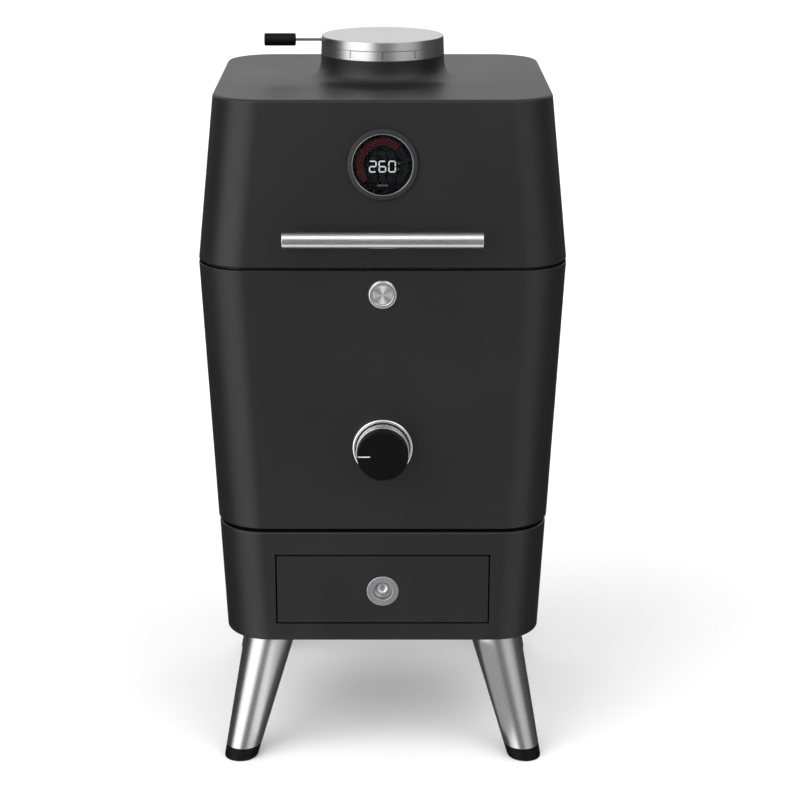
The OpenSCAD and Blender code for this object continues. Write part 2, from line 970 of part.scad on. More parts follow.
// Screws from inside the lid shell into the posts
module handle_screws() {
    color(steel) for (x = [-post_x, post_x]) on_lid_front(bar_foot_z, x) {
        rod(post_screw_r - 0.05, -wall, 14);
        rod(5.5, -wall - 3.4, -wall - 0.1);
    }
}

module gauge_bezel() {
    r = gauge_d / 2;
    color(dark) on_lid_front(gauge_z) rotate_extrude() polygon([
        [glass_r + 0.1, 0], [r, 0], [r, 4], [r - 1.5, 6], [glass_r + 2, 7], [glass_r + 0.1, 6]
    ]);
}

module gauge_glass() {
    color(black) on_lid_front(gauge_z) rod(glass_r, 3, 5);
}

module gauge_display() {
    color([0.1, 0.1, 0.12]) on_lid_front(gauge_z) rod(glass_r, 0.8, 3);
}

module gauge_housing() {
    color(dark) on_lid_front(gauge_z) difference() {
        union() {
            rod(gauge_hole_r - 2, -22, 0.8);
            rod(glass_r, 0, 0.8);
        }
        rod(gauge_hole_r - 4, -20, 0.8 + cut);
        // hole for the temperature probe
        rod(3, -23, -18);
    }
}

module temperature_probe() {
    color(steel) on_lid_front(gauge_z) {
        rod(2.95, -95, -19);
        rod(5, -20, -16);
        translate([0, 0, -95]) sphere(2.95);
    }
}

// ---------------------------------------------------------------- chimney

module flue_sleeve() {
    color(enamel) tube(flue_r - 0.2, flue_r - 2.7, lid_top_z - 28, neck_top_z - 4);
}

// Two exhaust ports on the rear half, turned by the given angle
module ports(r_in, r_out, turn) {
    z0 = collar_foot + port_margin;
    z1 = collar_top - port_margin;
    for (s = [-1, 1])
        translate([0, 0, z0])
            sector(
                r_in, r_out,
                90 + s * port_pitch - port_arc / 2 + turn,
                90 + s * port_pitch + port_arc / 2 + turn, z1 - z0
            );
}

module vent_collar() {
    h = collar_top - collar_foot;
    color(steel) difference() {
        translate([0, 0, collar_foot]) cylinder(h = h, r1 = vent_r(collar_foot), r2 = vent_r(collar_top));
        rod(collar_bore_r, collar_foot - cut, collar_top + cut);
        ports(collar_bore_r - 2, neck_r + 2, 0);
    }
}

// Bridge across the flue with the pin that the cap turns on
module vent_spider() {
    z0 = neck_top_z - 18;
    color(steel) {
        difference() {
            box([-flue_r + 2.9, -7, z0], [flue_r - 2.9, 7, z0 + 6]);
            rod(4, z0 - cut, z0 + 8);
        }
        rod(10, z0 + 6, z0 + 10);
        // the spindle, just short of the end of the cap's bore
        rod(spindle_r, z0, spindle_bore_top - 0.3);
    }
}

module vent_cap() {
    color(steel) {
        difference() {
            rotate_extrude() polygon([
                [0, cap_foot], [vent_r(cap_foot), cap_foot], [vent_r(cap_top_z), cap_top_z - cap_edge],
                [vent_r(cap_top_z) - cap_edge, cap_top_z], [0, cap_top_z]
            ]);
            rod(cap_bore_r, cap_foot - cut, cap_top_z - cap_wall);
            lever_bore(lever_r);
        }
        // hub that turns on the spindle
        difference() {
            rod(hub_r, neck_top_z + 3, cap_top_z - cap_wall);
            rod(spindle_bore_r, neck_top_z, spindle_bore_top);
        }
    }
}

// Skirt inside the collar whose ports open and close the vent
module vent_shutter() {
    color(steel) difference() {
        tube(shutter_r, shutter_r - shutter_wall, collar_foot + 0.8, cap_top_z - cap_wall);
        ports(shutter_r - 4, shutter_r + 1, -vent_turn);
        lever_bore(lever_r + 0.3);
    }
}

// Hole for the lever through the cap and the shutter
module lever_bore(r) {
    translate([-neck_r - cut, 0, lever_z]) rotate([0, 90, 0]) cylinder(h = 20, r = r);
}

module vent_lever_rod() {
    start = lever_reach - grip_socket;
    color(steel) translate([-start, 0, lever_z]) rotate([0, 90, 0])
        cylinder(h = start - lever_in, r = lever_r);
}

module vent_lever_grip() {
    color(black) translate([-lever_reach, 0, lever_z]) rotate([0, 90, 0]) difference() {
        rotate_extrude() polygon([
            [0, 0], [grip_r - 2, 0], [grip_r, 2], [grip_r, grip_len - 2],
            [grip_r - 2, grip_len], [0, grip_len]
        ]);
        rod(lever_r, grip_socket, grip_len + cut);
    }
}

// ---------------------------------------------------------------- hinges

// Barrel segments along X: side 0 is the body's outer pair, side 1 the lid's middle
module knuckles(side) {
    w = knuckle_w;
    spots = side == 0 ? [-(w + knuckle_gap), w + knuckle_gap] : [0];
    for (x = spots) translate([x - w / 2, 0, 0]) children();
}

// Leaves on the body's rear face, with the outer knuckles
module hinge_body_leaves() {
    w = knuckle_w;
    top = body_top - 2;
    color(dark) for (hx = [-hinge_x, hinge_x]) translate([hx, 0, 0]) difference() {
        union() {
            // leaf on the leaning rear face
            translate([-leaf_w / 2, 0, 0]) rotate([90, 0, 90]) linear_extrude(leaf_w) polygon([
                [half_d(top - leaf_h), top - leaf_h], [half_d(top), top],
                [half_d(top) + leaf_t, top], [half_d(top - leaf_h) + leaf_t, top - leaf_h]
            ]);
            knuckles(0) {
                translate([0, pin_y, seam_z]) rotate([0, 90, 0]) cylinder(h = w, r = hinge_r);
                box([0, half_d(top) + 1, seam_z - hinge_r], [w, pin_y, seam_z - 3]);
            }
        }
        translate([-leaf_w, pin_y, seam_z]) rotate([0, 90, 0]) cylinder(h = 2 * leaf_w, r = pin_bore_r);
        hinge_screw_places(0) cylinder(h = 20, r = 2.2, center = true);
    }
}

// Leaves on the lid's rear face, each with the middle knuckle on a short arm
module hinge_lid_leaves() {
    w = knuckle_w;
    foot = lid_foot + 4;
    color(dark) for (hx = [-hinge_x, hinge_x]) translate([hx, 0, 0]) difference() {
        union() {
            translate([-leaf_w / 2, 0, 0]) rotate([90, 0, 90]) linear_extrude(leaf_w) polygon([
                [half_d(foot), foot], [half_d(foot + leaf_h), foot + leaf_h],
                [half_d(foot + leaf_h) + leaf_t, foot + leaf_h], [half_d(foot) + leaf_t, foot]
            ]);
            knuckles(1) {
                translate([0, pin_y, seam_z]) rotate([0, 90, 0]) cylinder(h = w, r = hinge_r);
                rotate([90, 0, 90]) linear_extrude(w) polygon([
                    [half_d(foot) + 1, foot], [pin_y - 2, seam_z + 3], [pin_y, seam_z + hinge_r],
                    [half_d(foot) + 3, foot + 14], [half_d(foot) + 1, foot + 14]
                ]);
            }
        }
        translate([-leaf_w, pin_y, seam_z]) rotate([0, 90, 0]) cylinder(h = 2 * leaf_w, r = pin_bore_r);
        hinge_screw_places(1) cylinder(h = 20, r = 2.2, center = true);
    }
}

module hinge_pins() {
    color(steel) for (hx = [-hinge_x, hinge_x])
        translate([hx - leaf_w / 2 - 0.5, pin_y, seam_z]) rotate([0, 90, 0]) {
            cylinder(h = leaf_w + 1, r = pin_r);
            translate([0, 0, -2]) cylinder(h = 2, r = 6);
            translate([0, 0, leaf_w + 1]) cylinder(h = 2, r = 6);
        }
}

// Screw axes in a hinge leaf, square to the face it lies on
module hinge_screw_places(side) {
    z = side == 0 ? body_top - 2 - leaf_h / 2 : lid_foot + 4 + leaf_h / 2;
    for (x = [-22, 22])
        for (v = [-8, 8]) on_back(z, x) translate([0, v, 0]) children();
}

module hinge_screws(side) {
    color(steel) for (hx = [-hinge_x, hinge_x]) translate([hx, 0, 0])
        hinge_screw_places(side) {
            rod(2.1, 0, leaf_t);
            rod(4, leaf_t, leaf_t + 1.8);
        }
}

module hinge_screws_body() {
    hinge_screws(0);
}

module hinge_screws_lid() {
    hinge_screws(1);
}

// ---------------------------------------------------------------- nodes

module placed() {
    translate([0, y_shift, 0]) children();
}

placed() base_shell();
placed() seam_gasket();
placed() body_shell();
placed() inner_liner();
placed() ash_chute();
placed() drawer_runners();
placed() charcoal_tray();
placed() ignition_element();
placed() element_socket();
placed() heat_deflector();
placed() rack_shelves();
placed() lower_grate();
placed() upper_grate();
placed() leg_front_left();
placed() leg_front_right();
placed() leg_rear_left();
placed() leg_rear_right();
placed() feet();
placed() leg_bolts();
placed() frame_bolts();
placed() vent_ring();
placed() vent_plate();
placed() button_bezel();
placed() button_housing();
placed() control_box();
placed() power_inlet();
placed() hinge_body_leaves();
placed() hinge_pins();
placed() hinge_screws_body();
placed() lid_shell();
placed() lid_liner();
placed() lid_gasket();
placed() handle_bar();
placed() handle_posts();
placed() handle_screws();
placed() gauge_bezel();
placed() gauge_glass();
placed() gauge_display();
placed() gauge_housing();
placed() temperature_probe();
placed() flue_sleeve();
placed() vent_collar();
placed() vent_spider();
placed() hinge_lid_leaves();
placed() hinge_screws_lid();
placed() vent_cap();
placed() vent_shutter();
placed() vent_lever_rod();
placed() vent_lever_grip();
placed() air_knob();
placed() knob_collar();
placed() knob_shaft();
placed() air_damper();
placed() knob_pointer();
placed() drawer_front();
placed() ash_tray();
placed() drawer_pull();
placed() ignition_button();
placed() button_spring();
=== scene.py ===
"""Looks of the free-standing smoker oven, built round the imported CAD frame. Metres, +Z up, front at -Y."""

import math

import bmesh
import bpy
from mathutils import Matrix, Vector


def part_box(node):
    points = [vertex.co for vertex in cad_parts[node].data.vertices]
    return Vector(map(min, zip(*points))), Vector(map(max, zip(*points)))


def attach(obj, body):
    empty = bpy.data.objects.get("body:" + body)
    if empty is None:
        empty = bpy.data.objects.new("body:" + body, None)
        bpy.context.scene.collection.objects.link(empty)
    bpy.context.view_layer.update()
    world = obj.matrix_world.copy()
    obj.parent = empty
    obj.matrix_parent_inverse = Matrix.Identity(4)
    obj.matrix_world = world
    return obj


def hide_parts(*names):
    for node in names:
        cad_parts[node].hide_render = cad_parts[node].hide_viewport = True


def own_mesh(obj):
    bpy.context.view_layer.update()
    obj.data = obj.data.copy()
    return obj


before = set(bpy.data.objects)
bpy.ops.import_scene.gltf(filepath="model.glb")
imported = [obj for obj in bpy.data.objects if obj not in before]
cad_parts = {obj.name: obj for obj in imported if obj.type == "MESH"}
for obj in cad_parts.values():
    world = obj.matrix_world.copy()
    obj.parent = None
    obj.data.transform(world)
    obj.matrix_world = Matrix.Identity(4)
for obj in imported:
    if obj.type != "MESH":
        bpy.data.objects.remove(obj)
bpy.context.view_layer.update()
scene = bpy.context.scene

# ---------- driving dimensions, in metres

MM = 0.001
SEAM_HALF_W = 285 * MM
SEAM_HALF_D = 269 * MM
BODY_DRAFT = math.radians(2.68)
LID_DRAFT = math.radians(5.65)
CORNER_R = 75.5 * MM
WALL = 4 * MM
NECK_R = 98.3 * MM
NECK_FOOT_R = 125.3 * MM
NECK_CURVE = 1.6
VENT_DRAFT = math.radians(2.5)
CORNER_STEPS = 20
SIDE_STEPS = 14
TURN_STEPS = 160

body_lo, body_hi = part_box("body_shell")
lid_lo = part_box("lid_shell")[0]
base_lo, base_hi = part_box("base_shell")
MID_Y = (body_lo.y + body_hi.y) / 2
SEAM_Z = (body_hi.z + lid_lo.z) / 2
LID_TOP_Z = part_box("flue_sleeve")[0].z + 28 * MM
NECK_TOP_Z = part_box("vent_collar")[0].z
CHIMNEY_AXIS = Matrix.Translation((0, MID_Y, 0))


def mm(*values):
    """Values in millimetres, as a tuple in metres."""
    return tuple(v * MM for v in values)


def in_mm(matrix):
    """The same frame with its coordinates in millimetres."""
    return matrix @ Matrix.Scale(MM, 4)


def polar(radius, angle, z=0.0, y=0.0):
    """Point at an angle and radius about an upright axis through (0, y)."""
    return Vector((radius * math.cos(angle), y + radius * math.sin(angle), z))


def full_turn(steps):
    """Angles that divide a circle into equal steps."""
    return [2 * math.pi * k / steps for k in range(steps)]


def centre(node):
    """Middle of a CAD node's box."""
    lo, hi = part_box(node)
    return (lo + hi) / 2


def drop(z):
    """How far the outer faces have come in from the seam at height z."""
    if z < SEAM_Z:
        return (SEAM_Z - z) * math.tan(BODY_DRAFT)
    return (z - SEAM_Z) * math.tan(LID_DRAFT)


def vent_r(z):
    """Outer radius of the chimney's collar and cap at height z."""
    return NECK_R - (z - NECK_TOP_Z) * math.tan(VENT_DRAFT)


def face_frame(z, lean, x=0.0, inset=0.0, back=False):
    """Matrix of a frame on the front or rear face: x right, y up the face, z outward."""
    side = 1 if back else -1
    out = Vector((0, side * math.cos(lean), -math.sin(lean)))
    up = Vector((0, side * math.sin(lean), math.cos(lean)))
    right = up.cross(out)
    m = Matrix((right, up, out)).transposed().to_4x4()
    m.translation = Vector((x, MID_Y + side * (SEAM_HALF_D - drop(z) - inset), z))
    return m


def on_body(z, x=0.0, inset=0.0):
    return face_frame(z, BODY_DRAFT, x, inset)


def on_lid(z, x=0.0):
    return face_frame(z, -LID_DRAFT, x)


# ---------- shader helpers


NOISE_MIDDLE = (0.3, 0.7)


class Nodes:
    """A node tree with short ways to add nodes and join them."""

    def __init__(self, tree):
        self.tree = tree

    def node(self, kind, **values):
        n = self.tree.nodes.new(kind)
        for key, value in values.items():
            setattr(n, key, value)
        return n

    def link(self, a, b):
        self.tree.links.new(a, b)

    def math(self, operation, *values):
        """Math node fed by numbers or sockets."""
        n = self.node("ShaderNodeMath", operation=operation)
        for socket, v in zip(n.inputs, values):
            if isinstance(v, (int, float)):
                socket.default_value = v
            else:
                self.link(v, socket)
        return n.outputs[0]

    def length(self, x, y):
        return self.math("SQRT", self.math("ADD", self.math("MULTIPLY", x, x), self.math("MULTIPLY", y, y)))

    def rescale(self, value, start, end, low, high, **values):
        """Maps start to end onto low to high."""
        n = self.node("ShaderNodeMapRange", **values)
        for key, v in (("From Min", start), ("From Max", end), ("To Min", low), ("To Max", high)):
            n.inputs[key].default_value = v
        self.link(value, n.inputs["Value"])
        return n.outputs["Result"]


class Shader(Nodes):
    """A Principled material with short ways to add procedural detail."""

    def __init__(self, name, base, rough, metallic=0.0, **sockets):
        self.material = bpy.data.materials.new(name)
        self.material.use_nodes = True
        super().__init__(self.material.node_tree)
        self.bsdf = self.tree.nodes["Principled BSDF"]
        self.base = base
        self.set("Base Color", (*base, 1))
        self.set("Roughness", rough)
        self.set("Metallic", metallic)
        for key, value in sockets.items():
            self.set(key.replace("_", " ").title().replace("Ior", "IOR"), value)

    def set(self, socket, value):
        self.bsdf.inputs[socket].default_value = value

    def coords(self, scale=(1, 1, 1)):
        """Object coordinates, stretched."""
        place = self.node("ShaderNodeTexCoord")
        mapping = self.node("ShaderNodeMapping")
        mapping.inputs["Scale"].default_value = scale
        self.link(place.outputs["Object"], mapping.inputs["Vector"])
        return mapping.outputs["Vector"]

    def around(self, matrix, along):
        """Coordinates (turn, radius, height) about an axis, so that noise streaks run round it."""
        place = self.node("ShaderNodeTexCoord")
        parts = []
        for row in matrix.inverted()[:3]:
            dot = self.node("ShaderNodeVectorMath", operation="DOT_PRODUCT")
            dot.inputs[1].default_value = row[:3]
            self.link(place.outputs["Object"], dot.inputs[0])
            parts.append(self.math("ADD", dot.outputs["Value"], row[3]))
        x, y, h = parts
        turn = self.math("MULTIPLY", self.math("ARCTAN2", y, x), along)
        join = self.node("ShaderNodeCombineXYZ")
        for part, socket in zip((turn, self.length(x, y), h), join.inputs):
            self.link(part, socket)
        return join.outputs[0]

    def grain(self, scale, detail=2, rough=0.5):
        """Noise without direction."""
        return self.noise(self.coords(), scale, detail, rough)

    def noise(self, vector, scale, detail, rough):
        n = self.node("ShaderNodeTexNoise")
        for key, value in (("Scale", scale), ("Detail", detail), ("Roughness", rough)):
            n.inputs[key].default_value = value
        self.link(vector, n.inputs["Vector"])
        return n.outputs["Fac"]

    def mix(self, a, b):
        """Six parts of one noise to four of another."""
        return self.math("ADD", self.math("MULTIPLY", a, 0.6), self.math("MULTIPLY", b, 0.4))

    def spread(self, fac, low, high):
        """Maps the middle of a noise onto low to high."""
        return self.rescale(fac, *NOISE_MIDDLE, low, high)

    def tint(self, fac, dark=0.9, light=1.1, warm=1.0):
        """Colour that varies between darker and lighter versions of the base."""
        ramp = self.node("ShaderNodeValToRGB")
        low, high = ramp.color_ramp.elements
        low.position, high.position = NOISE_MIDDLE
        low.color = (*[c * dark for c in self.base], 1)
        high.color = (self.base[0] * light * warm, self.base[1] * light, self.base[2] * light / warm, 1)
        self.link(fac, ramp.inputs["Fac"])
        self.link(ramp.outputs["Color"], self.bsdf.inputs["Base Color"])

    def roughen(self, fac, low, high):
        self.link(self.spread(fac, low, high), self.bsdf.inputs["Roughness"])

    def bump(self, *layers):
        """Bumps stacked from (height, distance in metres) pairs."""
        normal = None
        for height, distance in layers:
            n = self.node("ShaderNodeBump")
            n.inputs["Strength"].default_value = 1.0
            n.inputs["Distance"].default_value = distance
            self.link(height, n.inputs["Height"])
            if normal is not None:
                self.link(normal, n.inputs["Normal"])
            normal = n.outputs["Normal"]
        self.link(normal, self.bsdf.inputs["Normal"])

    def radial(self, axis):
        """Brushing that runs round an axis of the piece."""
        n = self.node("ShaderNodeTangent", direction_type="RADIAL", axis=axis)
        self.link(n.outputs["Tangent"], self.bsdf.inputs["Tangent"])


# ---------- materials


def grey(level, blue=None):
    """Neutral colour, or one whose blue is a little different."""
    return (level, level, level if blue is None else blue)


def powder_coat(name, base, rough):
    """Satin powder coat: a fine orange-peel grain with slow changes of tone."""
    s = Shader(name, base, rough, specular_ior_level=0.26)
    fine = s.grain(1500, 2, 0.6)
    peel = s.grain(320)
    slow = s.grain(5, 3)
    s.tint(s.mix(slow, fine))
    s.roughen(slow, rough - 0.03, rough + 0.03)
    s.bump((peel, 0.00005), (fine, 0.00005))
    return s.material


def brushed(name, base, rough, stretch):
    """Steel brushed along one direction of the frame; stretch is small along the brushing."""
    s = Shader(name, base, rough, 1.0)
    streak = s.noise(s.coords(stretch), 900, 4, 0.65)
    slow = s.grain(9)
    s.tint(streak, 0.88, 1.1)
    s.roughen(s.mix(streak, slow), rough - 0.05, rough + 0.06)
    s.bump((streak, 0.000015))
    return s.material


def spun(name, base, rough, matrix, axis, anisotropic, mark=1.0, painted_highlight_arms=0):
    """Steel turned on a lathe: fine rings round the axis, or a painted highlight: a fan-shaped shine painted
    into the colour, lighter and darker so many times round the axis.
    """
    s = Shader(name, base, rough, 1.0, anisotropic=anisotropic)
    s.radial(axis)
    turn_scale = 0.004
    place = s.around(matrix, turn_scale)
    ring = s.noise(place, 2600, 3, 0.7)
    if painted_highlight_arms:
        # Painted highlight: the base colour swings lighter and darker in a cosine of the turn, standing in
        # for the fan of reflections that spun steel shows.
        turn = s.node("ShaderNodeSeparateXYZ")
        s.link(place, turn.inputs[0])
        highlight_wave = s.math("COSINE", s.math("MULTIPLY", turn.outputs[0], painted_highlight_arms / turn_scale))
        s.tint(s.math("MULTIPLY_ADD", highlight_wave, 0.2, 0.5), 0.5, 1.08)
    else:
        s.tint(ring, 1 - 0.1 * mark, 1 + 0.08 * mark)
    s.roughen(ring, rough - 0.04 * mark, rough + 0.05 * mark)
    s.bump((ring, 0.00001 * mark))
    return s.material


def satin(name, base, rough, matrix):
    """Steel with faint lines round an axis and no strong direction."""
    s = Shader(name, base, rough, 1.0)
    ring = s.noise(s.around(matrix, 0.02), 900, 4, 0.7)
    s.tint(ring, 0.9, 1.08)
    s.roughen(ring, rough - 0.04, rough + 0.05)
    s.bump((ring, 0.00001))
    return s.material


def plain_steel(name, base=grey(0.42, 0.43), rough=0.38):
    """Zinc-plated steel with a faint mottle."""
    s = Shader(name, base, rough, 1.0)
    spots = s.grain(160, 4, 0.6)
    s.tint(spots, 0.82, 1.12, 1.02)
    s.roughen(spots, rough - 0.08, rough + 0.1)
    s.bump((s.grain(900), 0.00002))
    return s.material


def enamel(name):
    """Vitreous enamel: glossy, with pale flecks and a slight ripple."""
    base, rough = grey(0.012, 0.013), 0.22
    s = Shader(name, base, rough, coat_weight=0.4)
    flecks = s.grain(900, 1, 0.3)
    ramp = s.node("ShaderNodeValToRGB")
    ground, fleck = ramp.color_ramp.elements
    ground.position, fleck.position = 0.69, 0.74
    ground.color, fleck.color = (*base, 1), (*grey(0.16, 0.165), 1)
    s.link(flecks, ramp.inputs["Fac"])
    s.link(ramp.outputs["Color"], s.bsdf.inputs["Base Color"])
    s.roughen(s.grain(30), rough - 0.06, rough + 0.1)
    s.bump((s.grain(90), 0.00025))
    return s.material


def cast_iron(name):
    """Seasoned cast iron: pitted and a little oily."""
    s = Shader(name, (0.022, 0.021, 0.021), 0.55, specular_ior_level=0.5)
    pits = s.grain(650, 4, 0.7)
    slow = s.grain(28, 3)
    s.tint(slow, 0.7, 1.5, 1.04)
    s.roughen(slow, 0.42, 0.68)
    s.bump((s.grain(170, 3, 0.6), 0.0003), (pits, 0.00012))
    return s.material


def moulded(name, base, rough, grain=1100, depth=0.00004, gloss=0.5):
    """Moulded plastic or rubber with a fine spark-eroded grain."""
    s = Shader(name, base, rough, specular_ior_level=gloss)
    fine = s.grain(grain, 3, 0.6)
    s.tint(s.grain(40), 0.85, 1.15)
    s.roughen(fine, rough - 0.05, rough + 0.05)
    s.bump((fine, depth))
    return s.material


def gasket_cord(name):
    """Woven heat-proof sealing cord: crossed strands."""
    s = Shader(name, grey(0.004), 0.9, specular_ior_level=0.05)
    waves = []
    for scale in ((420, 420, 900), (420, -420, 900)):
        w = s.node("ShaderNodeTexWave", wave_type="BANDS", bands_direction="DIAGONAL")
        w.inputs["Scale"].default_value = 1.0
        s.link(s.coords(scale), w.inputs["Vector"])
        waves.append(w.outputs["Fac"])
    weave = s.math("MULTIPLY", *waves)
    s.tint(weave, 0.6, 1.6)
    s.bump((weave, 0.0004))
    return s.material


def ceramic(name):
    """Unglazed ceramic."""
    s = Shader(name, (0.66, 0.62, 0.54), 0.7)
    fine = s.grain(500, 4, 0.6)
    s.tint(fine, 0.88, 1.06, 1.02)
    s.bump((fine, 0.0001))
    return s.material


def lens_glass(name):
    """Clear gauge glass, coated so that it hardly reflects, with the faintest unevenness."""
    s = Shader(name, (0.93, 0.95, 0.96), 0.02, transmission_weight=1.0, ior=1.14)
    s.roughen(s.grain(60), 0.012, 0.035)
    return s.material


def dark_screen(name):
    """Black display behind the glass."""
    s = Shader(name, grey(0.003, 0.0035), 0.35, specular_ior_level=0.04)
    s.tint(s.grain(400), 0.8, 1.3)
    return s.material


def lit(name, color, strength, base):
    """A surface that glows, slightly uneven as a real backlight is."""
    s = Shader(name, base, 0.5, specular_ior_level=0.04)
    s.set("Emission Color", (*color, 1))
    uneven = s.grain(90)
    s.link(s.spread(uneven, strength * 0.88, strength * 1.08), s.bsdf.inputs["Emission Strength"])
    s.tint(uneven, 0.9, 1.05)
    return s.material


GRAPHITE = powder_coat("graphite_powder_coat", grey(0.008, 0.0083), 0.42)
DARK_COAT = powder_coat("dark_powder_coat", grey(0.01, 0.0105), 0.42)
BEZEL_COAT = powder_coat("bezel_coat", grey(0.016, 0.017), 0.34)
ENAMEL = enamel("vitreous_enamel")
IRON = cast_iron("seasoned_cast_iron")
ZINC = plain_steel("zinc_steel")
HOT_STEEL = plain_steel("heated_steel", (0.20, 0.17, 0.15), 0.45)
BAR_STEEL = brushed("brushed_bar_steel", grey(0.52, 0.53), 0.26, (0.02, 1, 1))
BLACK_GRIP = moulded("black_grip_plastic", grey(0.003), 0.42, gloss=0.09)
KNOB_BLACK = moulded("black_knob_plastic", grey(0.003), 0.38, 1400, 0.00002, 0.05)
FOOT_RUBBER = moulded("black_foot_rubber", grey(0.003), 0.5, gloss=0.07)
# Near-black, rough paint for the flat faces in the seams between the shells: painted shade that darkens the
# gaps between the sections.
SEAM_PAINTED_SHADE = moulded("seam_painted_shade", grey(0.002), 0.8, gloss=0.02)
CASE_PLASTIC = moulded("dark_case_plastic", grey(0.016, 0.017), 0.5)
WHITE_MARK = moulded("white_mark", grey(0.5), 0.45, 900, 0.00001, 0.2)
CORD_SEAL = gasket_cord("woven_seal")
CERAMIC = ceramic("unglazed_ceramic")
GLASS = lens_glass("gauge_lens")
SCREEN = dark_screen("display_black")
LIT_WHITE = lit("display_white", (0.85, 0.87, 0.9), 0.66, grey(0.1))
LIT_RED = lit("display_red", (0.85, 0.10, 0.15), 0.075, (0.02, 0.004, 0.005))
LIT_GLOW = lit("display_red_glow", (0.85, 0.10, 0.15), 0.014, (0.006, 0.003, 0.003))
LIT_PALE = lit("display_pale", (0.9, 0.93, 1.0), 0.16, grey(0.01))
LIT_DIM = lit("display_dim", (0.9, 0.95, 1.0), 0.030, grey(0.01))
# Dark marks of the collar's scale, and the painted shade of the line that darkens the gap under the cap.
ENGRAVING_AND_GAP_SHADE = moulded("engraving_and_gap_shade", grey(0.012), 0.6, 900, 0.00001)


# ---------- mesh helpers


def rounded(points, radii, steps=5, closed=False):
    """Points of a path with an arc of the given radius at each corner."""
    out = []
    last = len(points) - 1
    for i, (point, radius) in enumerate(zip(points, radii)):
        p = Vector(point)
        if radius <= 0 or (not closed and i in (0, last)):
            out.append(p)
            continue
        a = (Vector(points[i - 1]) - p).normalized()
        b = (Vector(points[(i + 1) % len(points)]) - p).normalized()
        half = a.angle(b) / 2
        middle = p + (a + b).normalized() * radius / math.sin(half)
        start = p + a * radius / math.tan(half) - middle
        end = p + b * radius / math.tan(half) - middle
        sweep = math.pi - 2 * half
        for s in range(steps + 1):
            t = s / steps
            mix = start * math.sin((1 - t) * sweep) + end * math.sin(t * sweep)
            out.append(middle + mix / math.sin(sweep))
    return out


def add_object(name, bm):
    """Puts a bmesh into the scene as an object, and frees it."""
    mesh = bpy.data.meshes.new(name)
    bm.to_mesh(mesh)
    bm.free()
    obj = bpy.data.objects.new(name, mesh)
    scene.collection.objects.link(obj)
    return obj


SHARP_EDGE = math.radians(35)
SOFTENED_EDGE = math.radians(50)


def finish_mesh(name, bm, material, body, replaces=()):
    """Turns a bmesh into a shaded piece that rides on a body."""
    bmesh.ops.recalc_face_normals(bm, faces=bm.faces)
    for f in bm.faces:
        f.smooth = True
    for e in bm.edges:
        e.smooth = len(e.link_faces) == 2 and e.calc_face_angle(0) < SHARP_EDGE
    obj = add_object(name, bm)
    obj.data.materials.append(material)
    even = obj.modifiers.new("even_normals", "WEIGHTED_NORMAL")
    even.keep_sharp = True
    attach(obj, body)
    if replaces:
        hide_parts(*replaces)
    return obj


def line_faces(obj, material, test):
    """Gives a second material to the faces that a test of centre and normal picks."""
    obj.data.materials.append(material)
    for f in obj.data.polygons:
        if test(f.center, f.normal):
            f.material_index = len(obj.data.materials) - 1


def bridge_rows(bm, rows, closed=False):
    """Faces between neighbouring rows of vertices; a row of one vertex is a point on the axis."""
    pairs = list(zip(rows, rows[1:]))
    if closed:
        pairs.append((rows[-1], rows[0]))
    for low, high in pairs:
        n = max(len(low), len(high))
        if n == 1:
            continue
        for i in range(n):
            j = (i + 1) % n
            if len(low) == 1:
                bm.faces.new((low[0], high[j], high[i]))
            elif len(high) == 1:
                bm.faces.new((low[i], low[j], high[0]))
            else:
                bm.faces.new((low[i], low[j], high[j], high[i]))


def loft(rings, closed=False, caps=True, into=None):
    """Skins a stack of rings with the same number of points."""
    bm = bmesh.new() if into is None else into
    rows = [[bm.verts.new(p) for p in ring] for ring in rings]
    bridge_rows(bm, rows, closed)
    if caps and not closed:
        bm.faces.new(rows[0])
        bm.faces.new(rows[-1])
    return bm


def lathe(profile, matrix, closed=True, steps=TURN_STEPS, into=None):
    """Turns a profile of (radius, height) points about the frame's z axis."""
    bm = bmesh.new() if into is None else into
    rows = []
    for radius, height in profile:
        angles = full_turn(steps) if radius > 1e-7 else [0.0]
        rows.append([bm.verts.new(matrix @ polar(radius, a, height)) for a in angles])
    bridge_rows(bm, rows, closed)
    return bm


def plug(radius, low, high, matrix, steps=TURN_STEPS):
    """Plain cylinder along the frame's z axis."""
    return lathe([(0, low), (radius, low), (radius, high), (0, high)], matrix, False, steps)


def turned_solid(points, radii, matrix, steps=5, closed=False, sides=TURN_STEPS, into=None):
    """Solid turned from a profile in millimetres, with rounded corners."""
    path = rounded([mm(*point) for point in points], mm(*radii), steps, closed)
    return lathe([(p.x, p.y) for p in path], matrix, closed, sides, into)


def plate(bm, outline, matrix, low, high):
    """Flat plate from an outline of (x, y) points between two heights."""
    foot, top = ([bm.verts.new(matrix @ Vector((x, y, z))) for x, y in outline] for z in (low, high))
    bm.faces.new(foot[::-1])
    bm.faces.new(top)
    bridge_rows(bm, [foot, top])


def block(lo, hi, matrix=None, edge=0.0, steps=2, into=None):
    """Box between two corners, with rounded edges where an edge width is given."""
    lo, hi = Vector(lo), Vector(hi)
    part = bmesh.new()
    bmesh.ops.create_cube(part, size=1)
    size = hi - lo
    for v in part.verts:
        v.co = Vector([lo[k] + (v.co[k] + 0.5) * size[k] for k in range(3)])
    if edge > 0:
        bmesh.ops.bevel(part, geom=part.edges[:], offset=edge, segments=steps, profile=0.5, affect="EDGES")
    if matrix is not None:
        bmesh.ops.transform(part, matrix=matrix, verts=part.verts)
    if into is None:
        return part
    mesh = bpy.data.meshes.new("part")
    part.to_mesh(mesh)
    part.free()
    into.from_mesh(mesh)
    bpy.data.meshes.remove(mesh)
    return into


